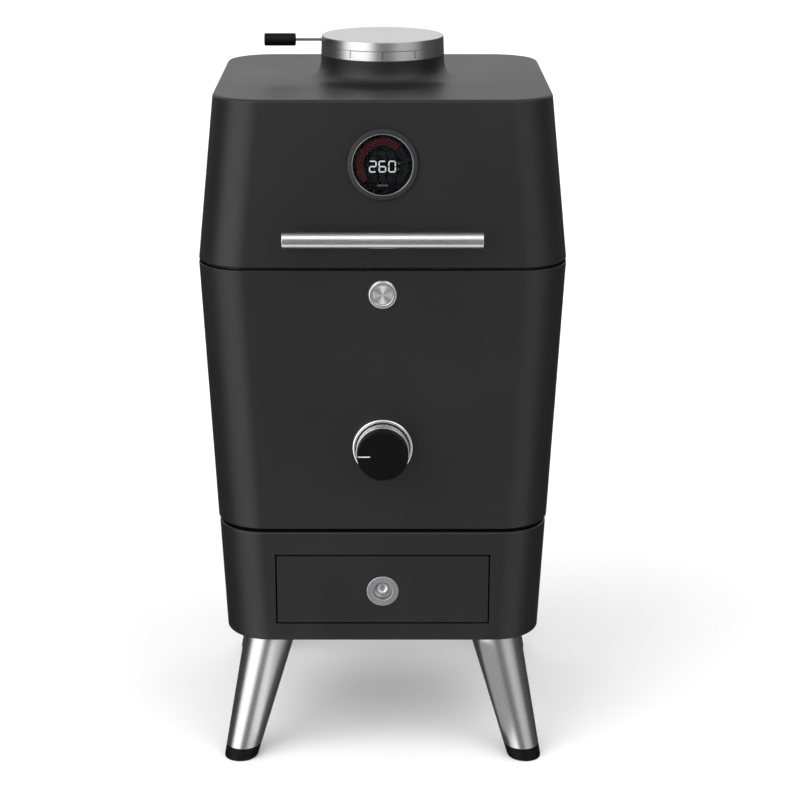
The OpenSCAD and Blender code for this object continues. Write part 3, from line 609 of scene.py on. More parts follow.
def carve(bm, *cutters):
    """Returns bm with each cutter bmesh cut away exactly."""
    objects = []
    for i, part in enumerate((bm, *cutters)):
        bmesh.ops.recalc_face_normals(part, faces=part.faces)
        objects.append(add_object(f"carve_{i}", part))
    target = objects[0]
    for cutter in objects[1:]:
        mod = target.modifiers.new("cut", "BOOLEAN")
        mod.operation = "DIFFERENCE"
        mod.solver = "EXACT"
        mod.object = cutter
    graph = bpy.context.evaluated_depsgraph_get()
    result = bpy.data.meshes.new_from_object(target.evaluated_get(graph))
    out = bmesh.new()
    out.from_mesh(result)
    for obj in objects:
        mesh = obj.data
        bpy.data.objects.remove(obj)
        bpy.data.meshes.remove(mesh)
    bpy.data.meshes.remove(result)
    return out


def soften(bm, width, steps=2):
    """Rounds every edge sharper than SOFTENED_EDGE."""
    edges = [e for e in bm.edges if len(e.link_faces) == 2 and e.calc_face_angle(0) > SOFTENED_EDGE]
    bmesh.ops.bevel(
        bm, geom=edges, offset=width, segments=steps, profile=0.5, affect="EDGES", clamp_overlap=True
    )
    return bm


def wall_ring(z, inset):
    """Rounded-rectangle ring at height z, behind the outer faces by the inset."""
    w, d = SEAM_HALF_W - drop(z) - inset, SEAM_HALF_D - drop(z) - inset
    r = max(CORNER_R - inset, 1 * MM)

    def corner(quarter, turn):
        sx = 1 if quarter % 4 in (0, 3) else -1
        sy = 1 if quarter % 4 < 2 else -1
        a = math.pi / 2 * (quarter + turn)
        return Vector((sx * (w - r) + r * math.cos(a), MID_Y + sy * (d - r) + r * math.sin(a), z))

    ring = []
    for quarter in range(4):
        ring += [corner(quarter, s / CORNER_STEPS) for s in range(CORNER_STEPS + 1)]
        start, end = ring[-1], corner(quarter + 1, 0)
        ring += [start.lerp(end, s / SIDE_STEPS) for s in range(1, SIDE_STEPS)]
    return ring


def round_ring(like, radius, z):
    """Circle about the chimney's axis, its points in the same directions as another ring's."""
    return [polar(radius, math.atan2(p.y - MID_Y, p.x), z, MID_Y) for p in like]


def corner_levels(z, inset, radius, up, steps=6):
    """(z, inset) pairs that round an edge at height z; up is 1 at a top edge and -1 at a foot."""
    pairs = []
    for s in range(steps + 1):
        a = math.pi / 2 * s / steps
        pairs.append((z - up * radius * (1 - math.sin(a)), inset + radius * (1 - math.cos(a))))
    return pairs if up > 0 else pairs[::-1]


def wall_rings(pairs):
    return [wall_ring(z, inset) for z, inset in pairs]


# ---------- camera, light and floor


def make_camera():
    """Camera in front of the object and a little above it, as in the photo."""
    data = bpy.data.cameras.new("camera")
    data.sensor_width = 36
    data.lens = 94.8
    data.shift_x = 0.0217
    data.clip_end = 60
    camera = bpy.data.objects.new("camera", data)
    camera.location = (0, MID_Y - 3.381, 1.6075)
    camera.rotation_euler = (math.radians(90 - 17.4), 0, 0)
    scene.collection.objects.link(camera)
    scene.camera = camera


class Sky(Nodes):
    """Soft studio surroundings: even boxes of light painted on a dark world by direction."""

    def __init__(self):
        world = bpy.data.worlds.new("studio")
        world.use_nodes = True
        scene.world = world
        super().__init__(world.node_tree)
        self.background = self.tree.nodes["Background"]
        self.background.inputs["Color"].default_value = (1, 1, 1, 1)
        place = self.node("ShaderNodeTexCoord")
        split = self.node("ShaderNodeSeparateXYZ")
        self.link(place.outputs["Generated"], split.inputs[0])
        x, y, z = split.outputs
        self.azimuth = self.math("ARCTAN2", x, self.math("MULTIPLY", y, -1.0))
        self.elevation = self.math("ARCTAN2", z, self.length(x, y))
        self.total = 0.0

    def window(self, value, middle, half, soft):
        """1 within half of the middle, falling smoothly to 0 over the soft margin; all in degrees."""
        off = self.math("ABSOLUTE", self.math("SUBTRACT", value, math.radians(middle)))
        start, end = math.radians(half), math.radians(half + soft)
        return self.rescale(off, start, end, 1.0, 0.0, interpolation_type="SMOOTHSTEP")

    def box(self, strength, azimuth, elevation):
        """Adds a light box."""
        shape = 1.0
        for value, span in ((self.azimuth, azimuth), (self.elevation, elevation)):
            if span:
                shape = self.math("MULTIPLY", self.window(value, *span), shape)
        self.total = self.math("ADD", self.math("MULTIPLY", shape, strength), self.total)


# Light boxes as (strength, azimuth, elevation), each range as (middle, half width, soft margin) in degrees.
# Azimuth 0 is in front of the object and positive to the right; elevation is above the horizon.
LIGHT_BOXES = (
    (0.38, None, (90, 36, 14)),
    (1.80, (0, 75, 30), (50, 14, 16)),
    (0.29, (0, 30, 25), (-6, 22, 18)),
    (1.25, (0, 70, 20), (-68, 16, 10)),
    (3.00, (-48, 20, 16), (15, 25, 15)),
    (1.50, (-48, 20, 16), (-40, 15, 15)),
    (0.60, (-34, 10, 12), (-34, 14, 12)),
    (0.78, (46, 18, 18), (15, 25, 15)),
    (1.10, (46, 18, 18), (-40, 15, 15)),
    (0.80, (44, 14, 12), (25, 8, 10)),
    (0.24, (48, 9, 9), (-14, 22, 12)),
    (0.10, (90, 14, 14), (10, 35, 20)),
)
# These are the same on both sides of the object, so 180 is straight behind it.
REAR_LIGHT_BOXES = (
    (0.76, (180, 45, 25), (12, 8, 10)),
    (0.93, (180, 60, 30), (38, 14, 12)),
    (0.08, (180, 80, 15), (-25, 15, 12)),
)


def make_light():
    """Paints the studio's light boxes on the world."""
    sky = Sky()
    for row in LIGHT_BOXES:
        sky.box(*row)
    sky.azimuth = sky.math("ABSOLUTE", sky.azimuth)
    for row in REAR_LIGHT_BOXES:
        sky.box(*row)
    sky.link(sky.total, sky.background.inputs["Strength"])
    scene.view_settings.view_transform = "Standard"


def make_backdrop():
    """Plain white wall all round the studio, far off, that only the camera sees."""
    radius, low, high, steps = 19, -6, 16, 64
    rings = [[polar(radius, a, z) for a in full_turn(steps)] for z in (low, high)]
    wall = add_object("backdrop", loft(rings, caps=False))
    wall.visible_diffuse = wall.visible_glossy = wall.visible_shadow = wall.visible_transmission = False
    wall.data.materials.append(lit("backdrop_white", (1, 1, 1), 1.2, (0, 0, 0)))


def make_cards():
    """Reflector and flag beside the front legs, as a studio sets them; only mirror-like surfaces see them."""
    front, foot, top = 0.42, 0.01, 0.19
    for name, x, rear, strength in (("reflector", -0.15, 0.25, 1.85), ("flag", 0.15, 0.20, 0.70)):
        bm = bmesh.new()
        corners = [(rear, foot), (front, foot), (front, top), (rear, top)]
        bm.faces.new([bm.verts.new((x, MID_Y - y, z)) for y, z in corners])
        card = add_object(name, bm)
        card.visible_camera = card.visible_diffuse = card.visible_shadow = card.visible_transmission = False
        card.data.materials.append(lit(name + "_card", (1, 1, 1), strength, (0, 0, 0)))


def make_floor():
    """Pale floor that curves up into a backdrop far behind."""
    front, bend, curve_r, top, half_width, steps = -9.0, 14.0, 3, 9.0, 14, 12
    path = [(front, 0.0)]
    for s in range(steps + 1):
        a = math.pi / 2 * s / steps
        path.append((bend + curve_r * math.sin(a), curve_r - curve_r * math.cos(a)))
    path.append((bend + curve_r, top))
    bm = bmesh.new()
    rows = [[bm.verts.new((x, y, z)) for x in (-half_width, half_width)] for y, z in path]
    for low, high in zip(rows, rows[1:]):
        bm.faces.new((low[0], low[1], high[1], high[0]))
    for f in bm.faces:
        f.smooth = True
    floor = add_object("floor", bm)
    floor.visible_glossy = False
    s = Shader("pale_floor", grey(0.86), 0.9, specular_ior_level=0.0)
    s.tint(s.grain(2), 0.995, 1.005)
    floor.data.materials.append(s.material)


# ---------- shells


def make_base():
    """Base section with its drawer opening, flange and floor."""
    lo_z, hi_z = base_lo.z, base_hi.z
    inset, flange, floor_t, lip, gap = mm(1, 6, 5, 31, 2.5)
    pairs = corner_levels(lo_z, inset, 3 * MM, -1) + corner_levels(hi_z, inset, 5 * MM, 1)
    pairs += [(hi_z, lip), (hi_z - flange, lip)]
    pairs += [(hi_z - flange, inset + WALL), (lo_z + floor_t, inset + WALL)]
    front_lo, front_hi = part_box("drawer_front")
    opening = block(front_lo - Vector((gap, 0.05, gap)), front_hi + Vector((gap, 0.03, gap)))
    inlet = centre("power_inlet")
    inlet_face = face_frame(inlet.z, BODY_DRAFT, inlet.x, inset, back=True)
    slot = block(mm(-14, -10.5, -20), mm(14, 10.5, 20), inlet_face)
    bm = soften(carve(loft(wall_rings(pairs)), opening, slot), 0.7 * MM)
    skin = finish_mesh("base_skin", bm, GRAPHITE, "root", ["base_shell"])
    # The flat top face of the flange at the seam gets painted shade, to darken the gap to the body.
    line_faces(skin, SEAM_PAINTED_SHADE, lambda c, n: n.z > 0.9 and c.z > hi_z - 1 * MM)


def make_body():
    """Tall body section, open at both ends, with holes for button and air control."""
    lo_z, hi_z = body_lo.z, body_hi.z
    flange, top_lip, foot_lip = mm(6, 16, 44)
    pairs = corner_levels(lo_z, 0, 3 * MM, -1) + corner_levels(hi_z, 0, 1.8 * MM, 1, 4)
    pairs += [(hi_z, top_lip), (hi_z - flange, top_lip), (hi_z - flange, WALL)]
    pairs += [(lo_z + flange, WALL), (lo_z + flange, foot_lip), (lo_z, foot_lip)]
    holes = [plug(r * MM, -0.02, 0.02, on_body(z)) for r, z in ((38.5, KNOB_Z), (19.65, BUTTON_Z))]
    bm = carve(loft(wall_rings(pairs), closed=True), *holes)
    skin = finish_mesh("body_skin", bm, GRAPHITE, "root", ["body_shell"])
    # The flat faces at both ends, in the seams to base and lid, get painted shade to darken those gaps.
    line_faces(skin, SEAM_PAINTED_SHADE, lambda c, n: abs(n.z) > 0.9 and not lo_z + 1 * MM <= c.z <= hi_z - 1 * MM)


def make_lid():
    """Lid with rounded top edge and the flared chimney neck, in one skin."""
    lo_z, top_z, neck_z = lid_lo.z, LID_TOP_Z, NECK_TOP_Z
    flue_r, roof_t, gauge_hole_r = mm(80, 5, 46)
    rings = wall_rings(corner_levels(lo_z, 0, 1.5 * MM, -1, 4))
    rings += wall_rings(corner_levels(top_z, 0, 4.5 * MM, 1))
    edge_ring = rings[-1]
    flare_steps = 20
    for s in range(flare_steps):
        a = math.pi / 2 * (1 - s / flare_steps)
        radius = NECK_R + (NECK_FOOT_R - NECK_R) * (1 - math.cos(a)) ** NECK_CURVE
        rings.append(round_ring(edge_ring, radius, neck_z - (neck_z - top_z) * math.sin(a)))
    for dr, dz in ((0, 0.6), (0.2, 0.2), (0.6, 0)):
        rings.append(round_ring(edge_ring, NECK_R - dr * MM, neck_z - dz * MM))
    rings += [round_ring(edge_ring, flue_r, z) for z in (neck_z, top_z - roof_t)]
    rings += wall_rings([(top_z - roof_t, WALL), (lo_z, WALL)])
    bm = carve(loft(rings, closed=True), plug(gauge_hole_r, -0.02, 0.02, on_lid(GAUGE_Z)))
    finish_mesh("lid_skin", bm, GRAPHITE, "lid", ["lid_shell"])


def make_liners():
    """Enamelled liners of the body and the lid, seen when the lid is open."""
    foot, rim = (corner.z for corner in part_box("inner_liner"))
    wall, out, lip, edge = mm(2.5, 18, 7, 2)
    shelf = rim - 2 * MM
    pairs = [(foot, out), (shelf, out), (shelf, lip), (rim, lip)]
    pairs += corner_levels(rim, out + wall - 3 * MM, 3 * MM, 1, 4)[::-1]
    pairs += [(foot + 3 * MM, out + wall)]
    lo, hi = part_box("ash_chute")
    cuts = [block((lo.x + edge, lo.y + edge, foot - 0.01), (hi.x - edge, hi.y - edge, foot + 0.01))]
    front_y, slot_low, slot_high = MID_Y - SEAM_HALF_D, foot + 10 * MM, foot + 18 * MM
    for k in range(-5, 6):
        x, half = mm(k * 30, 9)
        cuts.append(block((x - half, front_y, slot_low), (x + half, front_y + 0.06, slot_high)))
    lean_back = Matrix.Translation(centre("element_socket")) @ Matrix.Rotation(math.radians(-90), 4, "X")
    cuts.append(plug(0.02, -0.03, 0.03, lean_back))
    bm = soften(carve(loft(wall_rings(pairs)), *cuts), 0.5 * MM)
    finish_mesh("liner_skin", bm, ENAMEL, "root", ["inner_liner"])

    foot, top = (corner.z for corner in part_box("lid_liner"))
    out, wall, radius, gap = mm(14, 2, 16, 0.5)
    pairs = [(foot, out + wall), (foot, WALL + gap), (foot + wall, WALL + gap), (foot + wall, out)]
    rings = wall_rings(pairs + corner_levels(top, out, radius, 1))
    rings += [round_ring(rings[-1], 80.2 * MM, z) for z in (top, top - wall)]
    rings += wall_rings(corner_levels(top - wall, out + wall, radius - wall, 1)[::-1])
    holes = [plug(0.045, -0.04, 0.005, on_lid(GAUGE_Z))]
    holes += [plug(0.008, -0.04, -0.008, on_lid(BAR_FOOT_Z, x), 48) for x in (-POST_X, POST_X)]
    bm = soften(carve(loft(rings, closed=True), *holes), 0.4 * MM)
    finish_mesh("lid_liner_skin", bm, ENAMEL, "lid", ["lid_liner"])


# ---------- legs


def make_legs():
    """Four tapered, splayed legs and their black feet, cut level at floor and base."""
    splay, axis_x, axis_y, r_top, r_foot = mm(52, 183, 167, 41.8, 26.6)
    height, foot_h = base_lo.z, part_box("leg_front_left")[0].z
    feet = bmesh.new()
    for name, sx, sy in (
        ("leg_front_left", -1, -1), ("leg_front_right", 1, -1),
        ("leg_rear_left", -1, 1), ("leg_rear_right", 1, 1)
    ):
        top = Vector((sx * axis_x, MID_Y + sy * axis_y, height))
        foot = Vector((sx * (axis_x + splay), MID_Y + sy * (axis_y + splay), 0))
        along = (foot - top).normalized()
        side = along.cross(Vector((0, 0, 1))).normalized()
        other = along.cross(side)

        def level_ring(z, shrink=0.0):
            points = []
            for a in full_turn(TURN_STEPS):
                spoke = side * math.cos(a) + other * math.sin(a)
                p, q = top + spoke * (r_top - shrink), foot + spoke * (r_foot - shrink)
                points.append(p.lerp(q, (p.z - z) / (p.z - q.z)))
            return points

        levels = [(foot_h + dz * MM, shrink * MM) for dz, shrink in ((0.3, 1), (0.6, 0.3), (1.2, 0))]
        levels += [(height * t, 0) for t in (0.25, 0.5, 0.75, 1)]
        leg = loft([level_ring(*level) for level in levels])
        matrix = (Vector((0, 0, 1)).rotation_difference(-along)).to_matrix().to_4x4()
        matrix.translation = foot
        steel = satin("satin_" + name, grey(0.38, 0.385), 0.30, matrix)
        finish_mesh(name + "_tube", leg, steel, "root", [name])
        levels = [mm(z, shrink) for z, shrink in ((0, 3), (0.5, 1.4), (1.6, 0.4), (3, 0))]
        levels += [(foot_h - dz * MM, shrink * MM) for dz, shrink in ((1, 0), (0.3, 0.3), (0, 1))]
        loft([level_ring(*level) for level in levels], into=feet)
    finish_mesh("rubber_feet", feet, FOOT_RUBBER, "root", ["feet"])


# ---------- front controls

KNOB_Z = 552 * MM
BUTTON_Z = 800 * MM
GAUGE_Z = 998.1 * MM
PULL_Z = 303 * MM
POST_X = 118 * MM
BAR_FOOT_Z = 889.6 * MM


def turned(name, points, radii, matrix, material, body, replaces=(), closed=True, steps=5):
    """A turned piece from a profile in millimetres, with rounded corners."""
    bm = turned_solid(points, radii, matrix, steps, closed)
    return finish_mesh(name, bm, material, body, replaces)


def make_air_control():
    """Fixed ring, turning collar, knob and its white pointer."""
    m = on_body(KNOB_Z)
    ring_steel = satin("knob_ring_steel", grey(0.60, 0.61), 0.24, m)
    ring = turned_solid([(43, 0), (47.5, 0), (47.5, 10), (43, 10)], [0, 0, 2.6, 0.6], m, 6, True)
    slots = []
    for k in range(6):
        turn = m @ Matrix.Rotation(math.radians(-125 + 14 * k), 4, "Z")
        slots.append(block(mm(42, -3.5, 1.5), mm(50, 3.5, 5.5), turn, 1.2 * MM, 3))
    finish_mesh("air_ring", carve(ring, *slots), ring_steel, "root", ["vent_ring"])
    turned(
        "air_collar", [(39, 9), (41.5, 9), (41.5, 28), (12.5, 28), (12.5, 26), (39, 26)],
        [0, 0.5, 0.8, 0, 0, 0], m, ring_steel, "air_control", ["knob_collar"]
    )
    profile = [(0, 14), (12, 14), (12, 28), (39.4, 28), (40, 28.6), (40, 46), (0, 46)]
    knob = turned_solid(profile, [0, 0, 0, 0, 0, 2.2, 0], m, 6)
    groove = block(mm(-38.4, -0.95, 45), mm(-19.5, 0.95, 48), m)
    knob = carve(knob, groove, plug(0.005, 0.013, 0.038, m, 64))
    finish_mesh("knob_body", knob, KNOB_BLACK, "air_control", ["air_knob"])
    line = block(mm(-38.2, -0.9, 45), mm(-19.6, 0.9, 46.15), m, 0.15 * MM)
    finish_mesh("pointer_line", line, WHITE_MARK, "air_control", ["knob_pointer"])


def make_return_spring(m):
    """Coil between the button and the floor of its housing; it rides with the button."""
    foot, top, press, coil_r, wire_r, slack = mm(-14.5, -8, 2.5, 6.3, 0.4, 0.05)
    turns, steps = 3.5, 112
    low, high = foot + wire_r + slack, top - wire_r - slack
    rings = []
    for k in range(steps + 1):
        a, z = 2 * math.pi * turns * k / steps, low + (high - low) * k / steps
        section = [(coil_r + wire_r * math.cos(t), z + wire_r * math.sin(t)) for t in full_turn(10)]
        rings.append([m @ polar(r, a, height) for r, height in section])
    coil = finish_mesh("return_spring", loft(rings), ZINC, "button", ["button_spring"])
    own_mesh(coil)


def make_button():
    """Ignition button: a bright bezel round a spun disc, whose four-spoked shine is a painted highlight in
    its colour.
    """
    m = on_body(BUTTON_Z)
    bezel_steel = spun("bezel_spun_steel", grey(0.5, 0.505), 0.26, m, "Y", 0.6)
    # The disc's four-spoked shine is painted highlight in its base colour.
    disc_steel_painted_highlight = spun("button_steel_painted_highlight", grey(0.8, 0.805), 0.34, m, "Y", 0.6, painted_highlight_arms=4)
    turned(
        "button_ring", [(15.8, 0), (22.8, 0), (22.8, 1.6), (20.6, 4.4), (16.6, 4.6), (15.8, 4.0)],
        [0, 0, 1.0, 2.2, 0.5, 0.3], m, bezel_steel, "root", ["button_bezel"]
    )
    turned(
        "button_cap", [(0, -8), (15.2, -8), (15.2, 3.5), (0, 3.0)],
        [0, 0, 0.6, 0], m, disc_steel_painted_highlight, "button", ["ignition_button"], closed=False
    )
    make_return_spring(m)


def make_drawer():
    """Drawer front with its finger pull; the ash tray behind it is a carried-over CAD node."""
    lo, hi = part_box("drawer_front")
    thick, skew = 5 * MM, math.tan(BODY_DRAFT)
    m = on_body(lo.z, 0, 1 * MM)
    height = (hi.z - lo.z) / math.cos(BODY_DRAFT)
    front = bmesh.new()
    corners = [(x, y, z) for z in (-thick, 0) for y in (0, height) for x in (lo.x, hi.x)]
    verts = [front.verts.new(m @ Vector((x, y - z * skew, z))) for x, y, z in corners]
    for quad in ((0, 1, 3, 2), (4, 6, 7, 5), (0, 4, 5, 1), (2, 3, 7, 6), (0, 2, 6, 4), (1, 5, 7, 3)):
        front.faces.new([verts[i] for i in quad])
    soften(front, 0.7 * MM, steps=3)
    pull = on_body(PULL_Z, 0, 1 * MM)
    front = carve(front, plug(0.0195, -0.02, 0.02, pull))
    finish_mesh("drawer_panel", front, GRAPHITE, "drawer", ["drawer_front"])
    steel = spun("pull_spun_steel", grey(0.42, 0.43), 0.34, pull, "Y", 0.2)
    turned(
        "finger_cup",
        [(0, -20), (18, -20), (18, 0), (25.5, 0), (25.5, 2.4), (15.4, 2.4), (14.9, -4), (8, -14), (0, -14.5)],
        [0, 2, 0, 0, 0.9, 0.8, 9, 9, 0], pull, steel, "drawer", ["drawer_pull"], False, 6
    )


def make_handle():
    """Brushed bar on two posts."""
    lo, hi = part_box("handle_bar")
    half, r = (hi.x - lo.x) / 2, (hi.z - lo.z) / 2
    m = Matrix.Translation(centre("handle_bar")) @ Matrix.Rotation(math.radians(90), 4, "Y")
    path = rounded([(0, -half), (r, -half), (r, half), (0, half)], mm(0, 1, 1, 0))
    finish_mesh("bar", lathe(path, m, closed=False), BAR_STEEL, "lid", ["handle_bar"])
    posts = bmesh.new()
    profile = [(0, 15), (3, 15), (3, 0), (7, 0), (7, 2), (6, 2.6), (6, 38.5), (0, 38.5)]
    for x in (-POST_X, POST_X):
        radii = [0, 0, 0, 0, 0.6, 0.5, 0, 0]
        turned_solid(profile, radii, on_lid(BAR_FOOT_Z, x), 4, sides=64, into=posts)
    posts = carve(posts, plug(r - 0.2 * MM, -half, half, m))
    finish_mesh("bar_posts", posts, BAR_STEEL, "lid", ["handle_posts"])


# ---------- gauge


def arc_band(bm, m, r0, r1, a0, a1, low, high, steps=None):
    """Part of a flat ring between two clock angles, in degrees clockwise from the top."""
    steps = steps or max(2, int(abs(a1 - a0) / 2))
    turn = [math.radians(90 - (a0 + (a1 - a0) * s / steps)) for s in range(steps + 1)]
    outer, inner = ([polar(r, a)[:2] for a in turn] for r in (r1, r0))
    for s in range(steps):
        plate(bm, [outer[s], outer[s + 1], inner[s + 1], inner[s]], m, low, high)


SEGMENTS = {"2": "abged", "6": "afgedc", "0": "abcdef"}
SEGMENT_ENDS = {
    "a": ((-1, 1), (1, 1)), "b": ((1, 1), (1, 0)), "c": ((1, 0), (1, -1)), "d": ((-1, -1), (1, -1)),
    "e": ((-1, 0), (-1, -1)), "f": ((-1, 1), (-1, 0)), "g": ((-1, 0), (1, 0)),
}


def digit(bm, m, char, x, y, w, h, t, low, high):
    """Seven-segment digit with its centre at x, y; strokes of width t with pointed ends."""
    sx, sy, trim = (w - t) / 2, (h - t) / 2, 0.12 * t
    for key in SEGMENTS[char]:
        a, b = (Vector((x + ax * sx, y + ay * sy)) for ax, ay in SEGMENT_ENDS[key])
        along = (b - a).normalized()
        a, b = a + along * trim, b - along * trim
        side = Vector((-along.y, along.x)) * t / 2
        point = along * t / 2
        outline = [a, a + point - side, b - point - side, b, b - point + side, a + point + side]
        plate(bm, outline, m, low, high)


def make_gauge():
    """Bezel with a bright inner ring, glass, and the lit display behind it."""
    m = on_lid(GAUGE_Z)
    turned(
        "gauge_rim", [
            (46.6, 0), (54.35, 0), (54.35, 3.4), (52.6, 6.2), (47.4, 7.0),
            (46.3, 6.6), (45.3, 5.4), (45.3, 5.15), (46.6, 5.15)
        ],
        [0, 0, 1.0, 1.0, 0.4, 0.2, 0, 0, 0], m, BEZEL_COAT, "lid", ["gauge_bezel"]
    )
    trim_steel = satin("gauge_trim_steel", (0.17, 0.175, 0.175), 0.22, m)
    turned(
        "gauge_trim", [(45.32, 5.5), (46.35, 6.68), (46.0, 6.9), (45.32, 6.4)], [0, 0, 0.1, 0.1],
        m, trim_steel, "lid", ()
    )
    turned(
        "gauge_lens", [(0, 3.05), (46.5, 3.05), (46.5, 4.4), (45.6, 5.0), (0, 5.0)],
        [0, 0, 0.3, 0.3, 0], m, GLASS, "lid", ["gauge_glass"], closed=False
    )
    turned(
        "gauge_screen", [(0, 0.8), (46.5, 0.8), (46.5, 2.2), (0, 2.2)], [0, 0, 0, 0],
        m, SCREEN, "lid", ["gauge_display"], closed=False
    )
    make_display(in_mm(m))


def make_display(m):
    """Everything lit behind the glass; m is the gauge's frame in millimetres."""
    low, high = 2.2, 2.45
    red, glow, dim, pale, white = (bmesh.new() for _ in range(5))
    # a scale of ticks, lit up to the reading
    r0, r1 = 30.8, 39.4
    first_lit, last_lit, first_dim, last_dim, pitch, half_tick = -131, 43, 49, 136, 4.5, 0.65
    arc_band(glow, m, r0 - 0.6, r1 + 0.4, first_lit - 1, last_lit + 1, low - 0.05, low + 0.1)
    at = first_lit
    while at < last_lit:
        arc_band(red, m, r0, r1, at - half_tick, at + half_tick, low, high, 2)
        at += pitch
    at = first_dim
    while at < last_dim:
        arc_band(dim, m, r0 + 1, r1 - 1, at - 0.4, at + 0.4, low, high, 2)
        at += pitch
    arc_band(dim, m, 29.3, 29.7, -128, 128, low, high)
    # round icons, each a ring with an arc and a pointer in it
    for x in (-12.4, -0.2, 12.0):
        for y in (15.8, -20.8):
            icon = m @ Matrix.Translation((x, y, 0))
            lathe([(3.7, low), (4.1, low), (4.1, high), (3.7, high)], icon, True, 40, dim)
            arc_band(dim, icon, 1.1, 1.5, 2.4 * x - 120, 2.4 * x + 120, low, high, 10)
            block((-0.25, -0.2, low), (0.25, 2.2, high), icon, into=dim)
    # dashes over and under each digit
    for y in (9.4, -14.6):
        for x in (-14.6, -0.3, 14.2):
            block((x - 5.2, y - 0.15, low), (x + 5.2, y + 0.15, high), m, into=dim)
    for char, x in zip("260", (-14.8, -0.4, 14.2)):
        digit(white, m, char, x, -2.7, 11.6, 18.0, 2.0, low, high)
    # generic unit marks, and four dashes under the icons
    unit = m @ Matrix.Translation((24.4, 2.6, 0))
    arc_band(pale, unit, 1.2, 1.8, 60, 300, low, high, 12)
    unit = m @ Matrix.Translation((23.6, -7.4, 0))
    for lo, hi in (((-0.9, -1.7), (-0.3, 1.7)), ((-0.9, 1.1), (1.3, 1.7)), ((-0.9, -0.3), (0.9, 0.3))):
        block((*lo, low), (*hi, high), unit, into=pale)
    for k in range(4):
        x = -6.0 + 3.9 * k
        block((x - 1.2, -32.2, low), (x + 1.2, -29.8, high), m, 0.1, into=pale)
    for name, bm, material in (
        ("display_ticks", red, LIT_RED), ("display_glow", glow, LIT_GLOW), ("display_icons", dim, LIT_DIM),
        ("display_units", pale, LIT_PALE), ("display_digits", white, LIT_WHITE)
    ):
        finish_mesh(name, bm, material, "lid", ())


# ---------- chimney vent


SCALE_MARKS = (-31, 0, 31)


def port_cutters(r_in, r_out, z0, z1):
    """Two curved blocks on the rear half that cut the exhaust ports."""
    sweep, steps, off = math.radians(56), 24, 60
    corners = ((r_in, z0), (r_out, z0), (r_out, z1), (r_in, z1))
    cutters = []
    for s in (-1, 1):
        start = math.radians(90 + s * off) - sweep / 2
        rings = []
        for k in range(steps + 1):
            a = start + sweep * k / steps
            rings.append([polar(r, a, z, MID_Y) for r, z in corners])
        cutters.append(loft(rings))
    return cutters


def make_engraving_and_gap_shade(top):
    """Scale on the collar: three marks with a dot under each, and a dark line along its upper edge, just
    under the gap to the cap, that is painted shade darkening that gap.
    """
    scale = bmesh.new()
    proud, sunk = 0.06, -0.3
    dot_r, dot_y = 1.2, -10.2
    dot = [polar(dot_r, a, 0, dot_y)[:2] for a in full_turn(16)]
    lean = Matrix.Rotation(math.radians(90) - VENT_DRAFT, 4, "X")
    for at in SCALE_MARKS:
        facing = CHIMNEY_AXIS @ Matrix.Rotation(math.radians(at), 4, "Z")
        m = in_mm(facing @ Matrix.Translation((0, -vent_r(top), top)) @ lean)
        block((-0.6, -7.0, sunk), (0.6, -0.5, proud), m, into=scale)
        block((-1.4, -7.4, sunk), (1.4, -6.6, proud), m, into=scale)
        plate(scale, dot, m, sunk, proud)
    # Painted shade: a dark line along the collar's top edge between the outer marks, darkening the gap under
    # the cap.
    shade_line_low, shade_line_high, steps = top - 0.6 * MM, top - 0.15 * MM, 48
    section = ((shade_line_low, sunk), (shade_line_low, proud), (shade_line_high, proud), (shade_line_high, sunk))
    rings = []
    for k in range(steps + 1):
        a = math.radians(SCALE_MARKS[0] + (SCALE_MARKS[-1] - SCALE_MARKS[0]) * k / steps - 90)
        rings.append([polar(vent_r(z) + out * MM, a, z, MID_Y) for z, out in section])
    loft(rings, into=scale)
    finish_mesh("engraved_scale_and_gap_shade", scale, ENGRAVING_AND_GAP_SHADE, "lid", ())


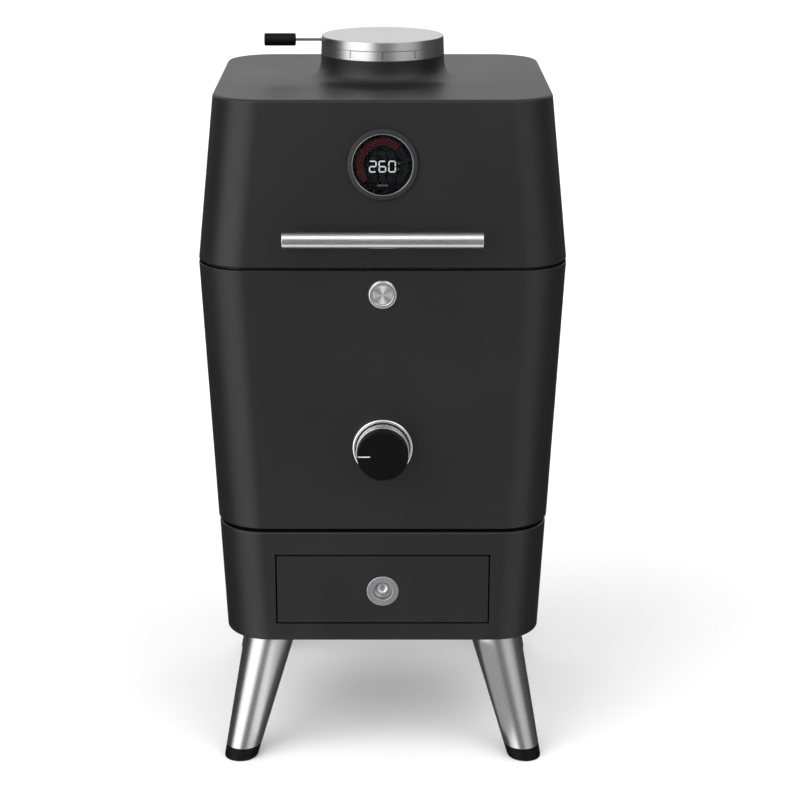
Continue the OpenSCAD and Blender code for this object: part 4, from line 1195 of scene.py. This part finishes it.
def make_chimney():
    """Fixed collar with its engraved scale and a painted-shade line along its top edge, turning cap, and the
    lever.
    """
    foot, top = (corner.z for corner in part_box("vent_collar"))
    bore_r, port_edge = mm(92, 3)
    side_steel = spun("vent_side_steel", grey(0.37, 0.375), 0.28, CHIMNEY_AXIS, "Z", 0.5, 0.15)
    path = [(bore_r, foot), (vent_r(foot), foot), (vent_r(top), top), (bore_r, top)]
    collar = lathe(rounded(path, mm(0, 0.3, 0.15, 0.3), 4, True), CHIMNEY_AXIS)
    ports = port_cutters(bore_r - 2 * MM, NECK_R + 2 * MM, foot + port_edge, top - port_edge)
    finish_mesh("chimney_collar", carve(collar, *ports), side_steel, "lid", ["vent_collar"])
    make_engraving_and_gap_shade(top)

    hub_foot, cap_top = (corner.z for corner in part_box("vent_cap"))
    cap_foot, ceiling, bore_top = top + 0.35 * MM, cap_top - 2.5 * MM, cap_top - 6 * MM
    rim_r, hub_r, spindle_r = vent_r(cap_top) - 2.5 * MM, 11 * MM, 5.05 * MM
    top_steel = satin("vent_top_steel", grey(0.57, 0.575), 0.40, CHIMNEY_AXIS)
    path = [
        (0, bore_top), (spindle_r, bore_top), (spindle_r, hub_foot), (hub_r, hub_foot), (hub_r, ceiling),
        (rim_r, ceiling), (rim_r, cap_foot), (vent_r(cap_foot), cap_foot), (vent_r(cap_top), cap_top),
        (0, cap_top)
    ]
    cap = lathe(rounded(path, mm(0, 0, 0, 0.5, 0, 0, 0, 0.15, 1.1, 0)), CHIMNEY_AXIS, closed=False)
    lever_lo, lever_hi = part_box("vent_lever_rod")
    lever_z = (lever_lo.z + lever_hi.z) / 2
    lever_m = Matrix.Translation((0, MID_Y, lever_z)) @ Matrix.Rotation(math.radians(-90), 4, "Y")
    rod_r, bore_r = 0.00225, 0.0023
    cap = carve(cap, plug(bore_r, 0.088, 0.1, lever_m, 32))
    cap_piece = finish_mesh("chimney_cap", cap, side_steel, "top_vent", ["vent_cap"])
    line_faces(cap_piece, top_steel, lambda c, n: n.z > 0.9 and c.z > cap_top - 1 * MM)

    rod_steel = brushed("lever_rod_steel", grey(0.17, 0.175), 0.3, (0.05, 1, 1))
    rod = plug(rod_r, -lever_hi.x, -lever_lo.x, lever_m, 48)
    finish_mesh("lever_rod", rod, rod_steel, "top_vent", ["vent_lever_rod"])
    grip_lo, grip_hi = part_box("vent_lever_grip")
    a, b, g = -grip_hi.x, -grip_lo.x, (grip_hi.z - grip_lo.z) / 2
    path = rounded([(0, a), (g, a), (g, b), (0, b)], mm(0, 1.6, 1.6, 0), 6)
    grip = carve(lathe(path, lever_m, False, 96), plug(bore_r, a - 0.01, b - 0.004, lever_m, 32))
    finish_mesh("lever_grip", grip, BLACK_GRIP, "top_vent", ["vent_lever_grip"])


# ---------- carried-over CAD nodes

CARRIED = (
    (CORD_SEAL, "seam_gasket lid_gasket"),
    (ENAMEL, "ash_chute ash_tray heat_deflector flue_sleeve"),
    (IRON, "charcoal_tray lower_grate upper_grate"),
    (ZINC, "drawer_runners rack_shelves leg_bolts frame_bolts hinge_pins hinge_screws_body"),
    (ZINC, "hinge_screws_lid handle_screws vent_spider vent_shutter knob_shaft air_damper"),
    (ZINC, "temperature_probe"),
    (HOT_STEEL, "ignition_element"),
    (CERAMIC, "element_socket"),
    (DARK_COAT, "vent_plate hinge_body_leaves hinge_lid_leaves"),
    (CASE_PLASTIC, "button_housing control_box gauge_housing"),
    (BLACK_GRIP, "power_inlet"),
)


def finish_carried():
    """Gives every CAD node that shows a material of its own."""
    for material, nodes in CARRIED:
        for node in nodes.split():
            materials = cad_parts[node].data.materials
            materials.clear()
            materials.append(material)


make_camera()
make_light()
make_floor()
make_backdrop()
make_cards()
make_base()
make_body()
make_lid()
make_liners()
make_legs()
make_air_control()
make_button()
make_drawer()
make_handle()
make_gauge()
make_chimney()
finish_carried()
